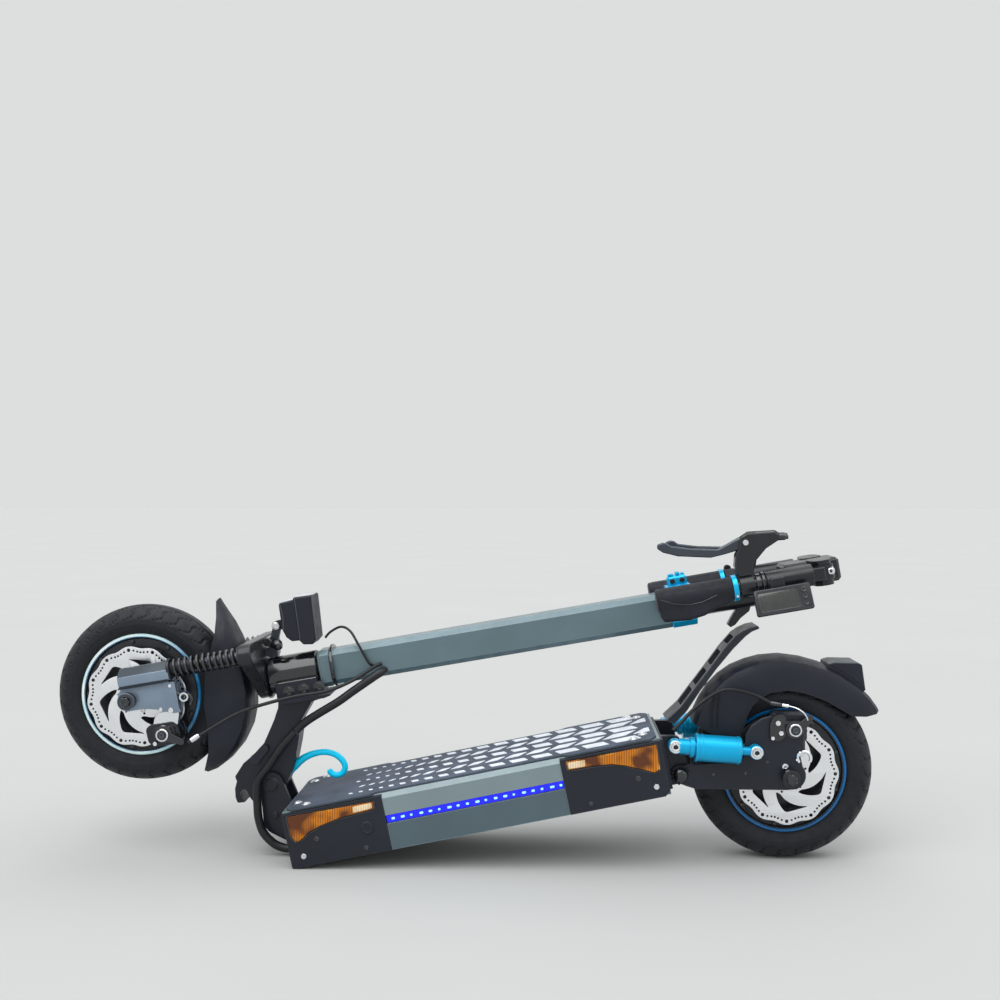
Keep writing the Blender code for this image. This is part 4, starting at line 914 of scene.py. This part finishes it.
# ---------------------------------------------------------------- nose hinge and neck
hinge = tuple(local(STEM, JOINTS["fold_hinge"]["pos_m"]))
lug = []
for z in (214.0, 236.0, 258.0):
    lug.append(screw((22.0, -32.9, z), 5.6, 1.6, socket=0.55))
    boss = [(6.2, -33.8), (7.8, -33.8), (7.8, -32.6), (6.2, -32.6)]
    lug.append(turned(boss, (22.0, 0, z), "Y", 32, True))
place(merged(*lug), "neck_bolts", STEM, "neck_arm", "black_gloss")
pin = [screw((hinge[0], -25.4, hinge[2]), 8.0, 3.0, socket=0.5, washer=11.0)]
place(merged(*pin), "hinge_bolt", STEM, "deck", "black_metal", far="deck")
for name, z in (("low", 178.0), ("top", 278.0)):
    band = [(24.6, z), (31.0, z), (31.6, z + 0.6), (31.6, z + 3.4), (31.0, z + 4.0), (24.6, z + 4.0)]
    place(turned(band, (0, 0, 0), "Z", 64, True), "headset_ring_" + name, STEM, "neck_arm",
          "black_gloss")

HOOK_LINE = [(-704, 0, 128), (-695, 0, 133), (-686, 0, 138), (-681, 0, 141), (-670, 0, 145.6),
             (-655, 0, 148), (-640, 0, 146.5), (-627, 0, 140), (-619, 0, 130), (-617, 0, 120),
             (-622, 0, 112.5), (-630, 0, 110.5), (-638, 0, 114), (-641, 0, 121)]


def smooth_line(points, steps=6):
    """Extra points on a rounded line through the given ones."""
    line = []
    spots = [Vector(p) for p in points]
    for k in range(len(spots) - 1):
        before = spots[max(k - 1, 0)]
        start, end = spots[k], spots[k + 1]
        after = spots[min(k + 2, len(spots) - 1)]
        for j in range(steps):
            t = j / steps
            line.append(0.5 * (2 * start + (end - before) * t
                               + (2 * before - 5 * start + 4 * end - after) * t * t
                               + (3 * start - before - 3 * end + after) * t ** 3))
    line.append(spots[-1])
    return line


place(pipe(smooth_line(HOOK_LINE), lambda t: 7.2 - 2.8 * min(1.0, t * 2.4) if t < 0.985 else 3.0, 20),
      "bag_hook_body", DECK, "neck_arm", "cyan_plastic", stands_for=("bag_hook",))

# ---------------------------------------------------------------- stem trim
clamp = [screw((-39, -11.0, 781), 3.8, 2.4, socket=0.55), screw((-39, -11.0, 795), 3.8, 2.4, socket=0.55)]
place(merged(*clamp), "collar_screws", STEM, "steering_column", "black_gloss")
nubs = [box_loft((-49.5, -45.0), (-9.0, -2.0), (776, 784), 1.5),
        box_loft((-50.5, -45.0), (-9.0, 8.0), (787, 793), 1.5),
        box_loft((-48.5, -45.0), (-6.0, 6.0), (795, 800), 1.5)]
place(merged(*nubs), "collar_clamp_lugs", STEM, "steering_column", "cyan_anodised")

# ---------------------------------------------------------------- rear arm, shocks and brake
low_eye = 110.7
place(screw((0, -83.2, 0), 6.2, 3.0, socket=0.5, washer=8.6), "shock_top_bolt", SHOCK, "deck",
      "chrome", far="deck")
place(screw((low_eye, -83.2, 0), 6.2, 3.0, socket=0.5, washer=8.6), "shock_low_bolt", SHOCK,
      "rear_suspension", "chrome", far="rear_suspension")
for name, start, wide, size in (("seat", 27.4, 4.0, 19.6), ("lock", 84.0, 3.4, 19.1),
                                ("groove", 36.0, 1.4, 18.9), ("neck", 20.0, 6.0, 14.0)):
    profile = [(11.2, start), (size - 0.5, start), (size, start + 0.5), (size, start + wide - 0.5),
               (size - 0.5, start + wide), (11.2, start + wide)]
    for side, tag in ((-1, "near"), (1, "far")):
        place(turned(profile, (0, side * 75.0, 0), "X", 48, True), "shock_" + name + "_" + tag, SHOCK,
              "shock_" + tag + "_body", "cyan_anodised")
arm_bolts = [screw((-60, -65.6, 4), 2.2, 1.0), screw((-30, -65.6, 20), 2.0, 1.0),
             screw((-104, -65.6, 2), 2.0, 1.0)]
place(merged(*arm_bolts), "arm_screws", REAR, "rear_suspension", "black_gloss")
clip = []
for k in range(25):
    angle = radians(-30 + 250 * k / 24)
    clip.append((19.8 + 9.0 * cos(angle), -67.4, 25.9 + 9.0 * sin(angle)))
place(pipe(clip, 2.3, 10), "axle_clip", REAR, "rear_suspension", "chrome")
place(screw((-6.0, -66.0, 14.0), 4.4, 2.6, socket=0.5), "axle_retainer_screw", REAR, "rear_suspension",
      "chrome")
dome = [(0.4, -74.6), (4.0, -74.3), (7.6, -72.8), (9.6, -70.4), (10.2, -68.6), (9.0, -68.4)]
pivot = tuple(local(REAR, JOINTS["swingarm_pivot"]["pos_m"]))
place(turned(dome, (pivot[0], 0, pivot[2]), "Y", 40), "arm_pivot_cap", REAR, "rear_suspension",
      "black_gloss", far="rear_suspension")
teeth = []
for k in range(11):
    angle = radians(20 + 24 * k)
    start = (pivot[0] + 10.6 * cos(angle), -68.6, pivot[2] + 10.6 * sin(angle))
    end = (pivot[0] + 13.4 * cos(angle), -68.6, pivot[2] + 13.4 * sin(angle))
    teeth.append(pipe([start, end], 1.5, 8))
place(merged(*teeth), "arm_pivot_boot", REAR, "rear_suspension", "rubber", far="rear_suspension")
seam = []
for x in (-104.0, -96.0):
    seam.append(pipe([(x, -40.4, 62.0), (x + 1.0, -40.8, 88.0), (x + 3.0, -40.4, 112.0)], 1.5, 10))
place(merged(*seam), "guard_seams", REAR, "rear_suspension", "rubber", far="rear_suspension")
arc_in = [(157.0 * cos(radians(a)), 157.0 * sin(radians(a))) for a in range(45, 68, 2)]
arc_out = [(161.7 * cos(radians(a)), 161.7 * sin(radians(a))) for a in range(67, 44, -2)]
place(plate([arc_in + arc_out], -26.3, 26.3, 0.4), "rear_lamp_gasket", REAR, "rear_suspension",
      "black_plastic")



def caliper_trim(where, body, at, name, bolts):
    """Bolts and a round cylinder boss with a bright ring on a caliper."""
    x, y, z = at
    boss = [(0.6, y - 8.0), (7.0, y - 8.0), (8.8, y - 6.6), (9.2, y - 3.0), (12.0, y - 2.2), (12.4, y)]
    place(turned(boss, (x, 0, z), "Y", 40), name + "_boss", where, body, "black_gloss")
    place(screw((x, y - 7.8, z), 4.2, 2.2, socket=0.5), name + "_boss_screw", where, body, "grey_metal")
    rim = [(6.8, y - 8.6), (8.2, y - 8.6), (8.8, y - 8.0), (8.8, y - 6.4), (6.8, y - 6.4)]
    place(turned(rim, (x, 0, z), "Y", 40, True), name + "_boss_rim", where, body, "chrome")
    bits = [screw((bx, by, bz), size, 2.4, socket=0.5) for bx, bz, size, by in bolts]
    place(merged(*bits), name + "_bolts", where, body, "chrome")


caliper_body = [(-27, 50), (-28, 72), (-23, 84), (-12, 88), (-5, 82), (-8, 70), (-5, 58), (-12, 50)]
caliper_step = [(-22, 56), (-23, 70), (-16, 82), (-10, 80), (-13, 66), (-12, 56)]
place(merged(plate([rounded(caliper_body, 4.0, 4)], -71.6, -65.8, 1.4),
             plate([rounded(caliper_step, 3.0, 4)], -74.0, -71.0, 1.2)),
      "rear_caliper_shell", REAR, "rear_suspension", "black_gloss")
caliper_trim(REAR, "rear_suspension", (6.7, -66.2, 65.3), "rear_caliper",
             [(-13.0, 61.5, 3.4, -73.8), (-17.2, 75.3, 3.6, -73.8), (-24.0, 54.0, 2.6, -71.4)])
caliper_trim(STEM, "fork_slider", (46.0, -78.0, 40.0), "front_caliper", [(57.0, 26.0, 3.0, -78.0)])


def ferrule(path, radius, where, body, name, look):
    """A turned sleeve over a cable end."""
    place(pipe(path, radius, 20), name, where, body, look)


def swell(t):
    return 4.2 if 0.12 < t < 0.88 else 3.4




def cord(route, radius, name, bends):
    """A cable along (frame, point) stops, cut into lengths at the bends' stops and left unattached to any body.

    A bend is (body, other body, first stop, last stop); the bodies are not used, and lengths meet end to end."""
    stops = [where @ Vector(point) for where, point in route]
    fine = smooth_line(stops, 8)
    for k, (body, other, first, last) in enumerate(bends):
        start = 0 if k == 0 else first * 8
        end = len(fine) - 1 if k == len(bends) - 1 else last * 8
        label = name + "_cord" + ("_%d" % k if k else "")
        place(pipe(fine[start:end + 1], radius * MM, 16), label, Matrix.Identity(4), body, "cable",
              stands_for=() if k else (name,), bend=(other, stops[first], stops[last]))


cord([(STEM, (80, -33.5, 213)), (STEM, (100, -35, 188)), (STEM, (122, -36.5, 167)),
      (STEM, (142, -38, 148)), (DECK, (-744, -38, 97)), (DECK, (-746, -38, 76)),
      (DECK, (-743, -38, 57)), (DECK, (-732, -38, 40)), (DECK, (-719, -38, 31)),
      (DECK, (-709, -38, 28.5))], 6.0, "conduit_lower", [("neck_arm", "deck", 2, 7)])
cord([(STEM, (16.5, -24.2, 352)), (STEM, (16.5, -31, 351)), (STEM, (20, -38, 341)),
      (STEM, (36, -41, 306)), (STEM, (47, -42.5, 283)), (STEM, (60, -40, 250)),
      (STEM, (69, -36.5, 230)), (STEM, (78.5, -33.5, 215))], 6.0, "conduit_upper",
     [("steering_column", "neck_arm", 4, 7)])
cord([(STEM, (63, -78, 72)), (STEM, (52, -72, 100)), (STEM, (36, -63, 145)), (STEM, (30, -56, 190)),
      (STEM, (28, -50, 232)), (STEM, (28, -50.5, 273)), (STEM, (20, -44, 310)),
      (STEM, (8, -34, 340)), (STEM, (6, -26, 350))], 2.5, "front_brake_cable",
     [("fork_slider", "steering_column", 0, 2), ("steering_column", "neck_arm", 2, 4),
      ("neck_arm", "steering_column", 4, 7)])
cord([(REAR, (-160, -66, 62)), (REAR, (-148, -58, 72)), (REAR, (-122, -54, 97)),
      (REAR, (-88, -53, 117)), (REAR, (-50, -54, 112)), (REAR, (-24, -58, 100)),
      (REAR, (-16, -60.4, 98.8))], 2.5, "rear_brake_cable",
     [("deck", "rear_suspension", 0, 3)])
cord([(STEM, (-43, -10, 274)), (STEM, (-50, -10, 283)), (STEM, (-55, -13, 300)),
      (STEM, (-47, -22, 314)), (STEM, (-25, -29, 324)), (STEM, (0, -29, 333)),
      (STEM, (6, -25.8, 338))], 1.8, "headlamp_lead", [("lamp", "steering_column", 0, 3)])
ferrule([(-24, -58, 100), (-19, -59.4, 99.3), (-14, -60.8, 98.6), (-9, -62.2, 98)], swell, REAR,
        "rear_suspension", "rear_cable_sleeve", "black_gloss")
ferrule([(-9, -62.2, 98), (-5, -63.4, 97.5), (-1, -64.6, 97)], 3.3, REAR, "rear_suspension",
        "rear_cable_tip", "chrome")
bare = [(-1, -64.6, 97), (6, -68, 96), (12, -71.6, 93.6), (18, -72.4, 89.4), (22, -71.6, 84),
        (24, -70.6, 79)]
ferrule(smooth_line(bare, 4), 1.1, REAR, "rear_suspension", "rear_cable_core", "chrome")
ferrule([(61, -77, 76), (58.5, -75.6, 82), (56, -74.3, 88)], swell, STEM, "fork_slider",
        "front_cable_sleeve", "chrome")

# ---------------------------------------------------------------- near fork lower and its caliper
leg_section = [(-54, -64), (-54, -73), (-43.5, -89.2), (-31, -89.2), (-28.8, -87), (-28.8, -64)]
leg = place(plate([rounded(leg_section, 1.2, 2)], -8.0, 64.4, 0.8, "Z"), "fork_leg_near", STEM,
            "fork_slider", "alloy_blue_grey", stands_for=("fork_lower_near",))
# Painted shade on the near fork leg's facets facing -X.
leg.data.materials.append(LOOKS["alloy_painted_shade"])
to_stem = STEM.inverted().to_3x3()
for face in leg.data.polygons:
    if (to_stem @ face.normal).normalized().x < -0.35:
        face.material_index = 1
drop_out = [(-33, -8), (-33, 58), (-26, 60), (-24, 69), (12, 69), (19, 71), (19, 60), (10, 38), (6, 20),
            (6, -6), (-4, -14), (-18, -14), (-27, -8)]
place(plate([rounded(drop_out, 3.0, 3)], -82.0, -68.0, 1.0), "fork_drop_out", STEM, "fork_slider",
      "alloy_blue_grey")
bridge = [(16, 36), (16, 62), (22, 64), (34, 60), (56, 52), (54, 40), (38, 22), (22, 28)]
place(plate([rounded(bridge, 4.0, 4)], -69.4, -60.0, 1.0),
      "front_caliper_bracket", STEM, "fork_slider", "chrome")
body_line = [(31, 20), (36, 13), (56, 14), (63, 24), (63, 54), (56, 61), (38, 60), (31, 52)]
shell = [plate([rounded(body_line, 4.0, 4)], -72.0, -50.4, 1.6),
         plate([rounded(body_line, 4.0, 4)], -43.6, -37.0, 1.2),
         plate([rounded([(53, 47), (62, 47), (62, 60), (53, 60)], 2.0, 3)], -52.0, -42.0, 0.5),
         plate([rounded([(36, 24), (58, 24), (58, 56), (36, 56)], 6.0, 4)], -77.0, -70.0, 1.5)]
place(merged(*shell), "front_caliper_shell", STEM, "fork_slider", "black_metal")
ring = [(4.2, -81.0), (6.4, -81.0), (6.8, -79.0), (6.8, -68.0), (4.2, -68.0)]
place(turned(ring, (-1.0, 0, 78.0), "Y", 36, True), "fork_stop_ring", STEM, "fork_slider", "chrome")
stop = [(-8, -76, 68), (-4, -77, 74), (-3, -77, 84), (4, -77, 88), (11, -76, 84)]
place(pipe(smooth_line(stop, 4), 2.6, 12), "fork_stop_hook", STEM, "fork_slider", "black_gloss")
knob = [(3.0, 197.0), (4.4, 200.0), (6.6, 202.0), (7.8, 206.0), (7.2, 210.0), (5.0, 212.4), (0.5, 213.4)]
place(turned(knob, (-45.0, -20.0, 0), "Z", 36), "crown_knob", STEM, "steering_column", "black_gloss")
nut = [(0.5, -24.0), (5.0, -24.0), (6.4, -22.5), (6.4, 22.5), (5.0, 24.0), (0.5, 24.0)]
place(turned(nut, (-52.0, 0, 192.5), "Y", 30), "lamp_bracket_bolt", STEM, "steering_column",
      "black_gloss")

# ---------------------------------------------------------------- fork lower trim
place(hex_head((FRONT_AXLE[0], -91.6, 0), 6.2, 5.0), "front_axle_nut", STEM, "fork_slider", "black_gloss",
      far="fork_slider")
washer = [(7.5, -92.2), (11.4, -92.2), (12.2, -91.6), (12.2, -90.6), (7.5, -90.6)]
place(turned(washer, (FRONT_AXLE[0], 0, 0), "Y", 48, True), "front_axle_washer", STEM, "fork_slider",
      "grey_metal", far="fork_slider")
place(hex_head((0, -85.6, 0), 6.6, 4.2), "rear_axle_nut", REAR, "rear_suspension", "black_gloss",
      far="rear_suspension")
place(plate([rounded([(-29, -9), (-26.6, -9), (-26.6, 63), (-29, 63)], 0.8, 2)], -89.3, -68.0, 0.3),
      "fork_leg_groove", STEM, "fork_slider", "black_plastic", far="fork_slider")
leg_screws = [screw((14, -82.0, 58), 3.8, 2.6), screw((10, -82.0, 44), 2.4, 1.6),
              screw((-20, -82.0, 62), 2.4, 1.6)]
place(merged(*leg_screws), "fork_leg_screws", STEM, "fork_slider", "chrome")

# ---------------------------------------------------------------- handlebars
BAR = (-20.0, -60.0)
GRIP_END = 862.0
ring = [(15.6, GRIP_END - 5.5), (17.6, GRIP_END - 5.5), (18.1, GRIP_END - 5), (18.1, GRIP_END + 0.6),
        (17.6, GRIP_END + 1.1), (15.6, GRIP_END + 1.1)]
place(turned(ring, (*BAR, 0), "Z", 56, True), "grip_lock_ring", STEM, "bar_near", "cyan_anodised",
      far="bar_far")
place(screw((BAR[0] + 10, BAR[1] - 15.2, GRIP_END - 2.2), 1.9, 1.6, (0.4, -0.9, 0)), "lock_ring_screw",
      STEM, "bar_near", "chrome", far="bar_far")
for k, (low, high, size) in enumerate(((889.5, 895.5, 15.0), (897.5, 901.0, 16.4))):
    collar = [(11.2, low), (size - 0.5, low), (size, low + 0.5), (size, high - 0.5), (size - 0.5, high),
              (11.2, high)]
    place(turned(collar, (*BAR, 0), "Z", 48, True), "bar_clamp_ring_%d" % k, STEM, "bar_near",
          "black_gloss")
ribs = []
for k in range(26):
    z = 758.0 + 3.8 * k
    rib = []
    for j in range(13):
        angle = radians(148 + 84 * j / 12)
        rib.append((BAR[0] + 16.0 * cos(angle), BAR[1] + 16.0 * sin(angle), z + 2.0 * sin(j * 0.5)))
    ribs.append(pipe(rib, 0.42, 6))
place(merged(*ribs), "grip_ribs", STEM, "bar_near", "grip_rubber", far="bar_far")
crease = [(-22, -76.05, 756), (-14, -75.2, 772), (-9, -73.2, 792), (-10, -73.6, 812), (-16, -75.6, 832)]
place(pipe(crease, 0.5, 8), "grip_crease", STEM, "bar_near", "black_gloss", far="bar_far")
bolt = [screw((BAR[0] - 1, -57.0, 993.5), 4.6, 6.0, socket=0.42, washer=6.4)]
place(merged(*bolt), "bar_hinge_screw", STEM, "bar_near", "chrome", far="bar_far")

DISPLAY = STEM @ Matrix.Translation((4, -88.4, 918)) @ Matrix.Rotation(radians(-14), 4, "Z")
frame_out = rounded([(-17, -38), (17, -38), (17, 38), (-17, 38)], 3.0, 4)
frame_in = rounded([(-12.5, -33), (12.5, -33), (12.5, 19), (-12.5, 19)], 2.0, 4)
place(plate([frame_out, frame_in[::-1]], -5.6, -4.3, 0.35), "display_frame", DISPLAY, "bar_near",
      "display_grey")
place(plate([rounded([(-13, -33.5), (13, -33.5), (13, 19.5), (-13, 19.5)], 2, 3)], -4.9, -4.2, 0.1),
      "display_glass", DISPLAY, "bar_near", "lcd")
keys = []
KEY = [(3.4, 0), (3.4, 1.4), (2.8, 2.0), (1.6, 1.7), (0.3, 1.6)]
for x in (-9.0, 0.0, 9.0):
    keys.append(turned_to(turned(KEY, (0, 0, 0), "Z", 28), (x, -5.4, 28.5), (0, -1, 0)))
place(merged(*keys), "display_keys", DISPLAY, "bar_near", "black_gloss")

# ---------------------------------------------------------------- brake levers
LEVERS = (("near", (-80.0, 884.0), -60.0), ("far", (-74.0, 906.0), 60.0))
for tag, at, y in LEVERS:
    out = -1 if y < 0 else 1
    place(merged(screw((at[0], y + out * 8.8, at[1]), 4.0, 1.8, (0, out, 0)),
                 screw((at[0], y - out * 8.8, at[1]), 4.0, 1.8, (0, -out, 0))),
          "lever_pivot_screw_" + tag, STEM, "bar_" + tag, "steel")
    barrel_path = [(at[0] - 1, y, at[1] + 40), (at[0] + 1, y, at[1] + 46), (at[0] + 2, y, at[1] + 56)]
    place(pipe(barrel_path, 4.4, 18), "lever_barrel_" + tag, STEM, "bar_" + tag, "black_gloss")
    tip = [(at[0] + 2, y, at[1] + 56), (at[0] + 2.5, y, at[1] + 60)]
    place(pipe(tip, 3.2, 14), "lever_barrel_tip_" + tag, STEM, "bar_" + tag, "grey_metal")

# ---------------------------------------------------------------- headlamp
for name, corners in (("front", [(-110.2, 242), (-107.8, 242), (-106.9, 266.5), (-109.2, 266.5)]),
                      ("rear", [(-105.4, 220), (-103.2, 220), (-104.9, 240), (-107.0, 240)])):
    place(plate([rounded(corners, 0.6, 2)], -21.0, 21.0, 0.3), "lamp_glass_" + name, STEM, "lamp",
          "clear_lens")
# Painted highlights: thin light grey lines along the headlamp pods' edges.
edges = [pipe([(-109, -26.3, 268), (-76, -26.3, 266), (-44, -26.3, 264)], 0.7, 8),
         pipe([(-108, -26.3, 243), (-76, -26.3, 242), (-47, -26.3, 241)], 0.6, 8),
         pipe([(-104, -24.3, 220), (-86, -24.3, 222), (-66, -24.3, 219)], 0.6, 8)]
place(merged(*edges), "lamp_edge_highlights", STEM, "lamp", "display_grey")
place(screw((-72.0, -12.0, 206.0), 4.4, 2.6, washer=5.6), "lamp_tilt_screw", STEM, "steering_column",
      "steel", far="steering_column")
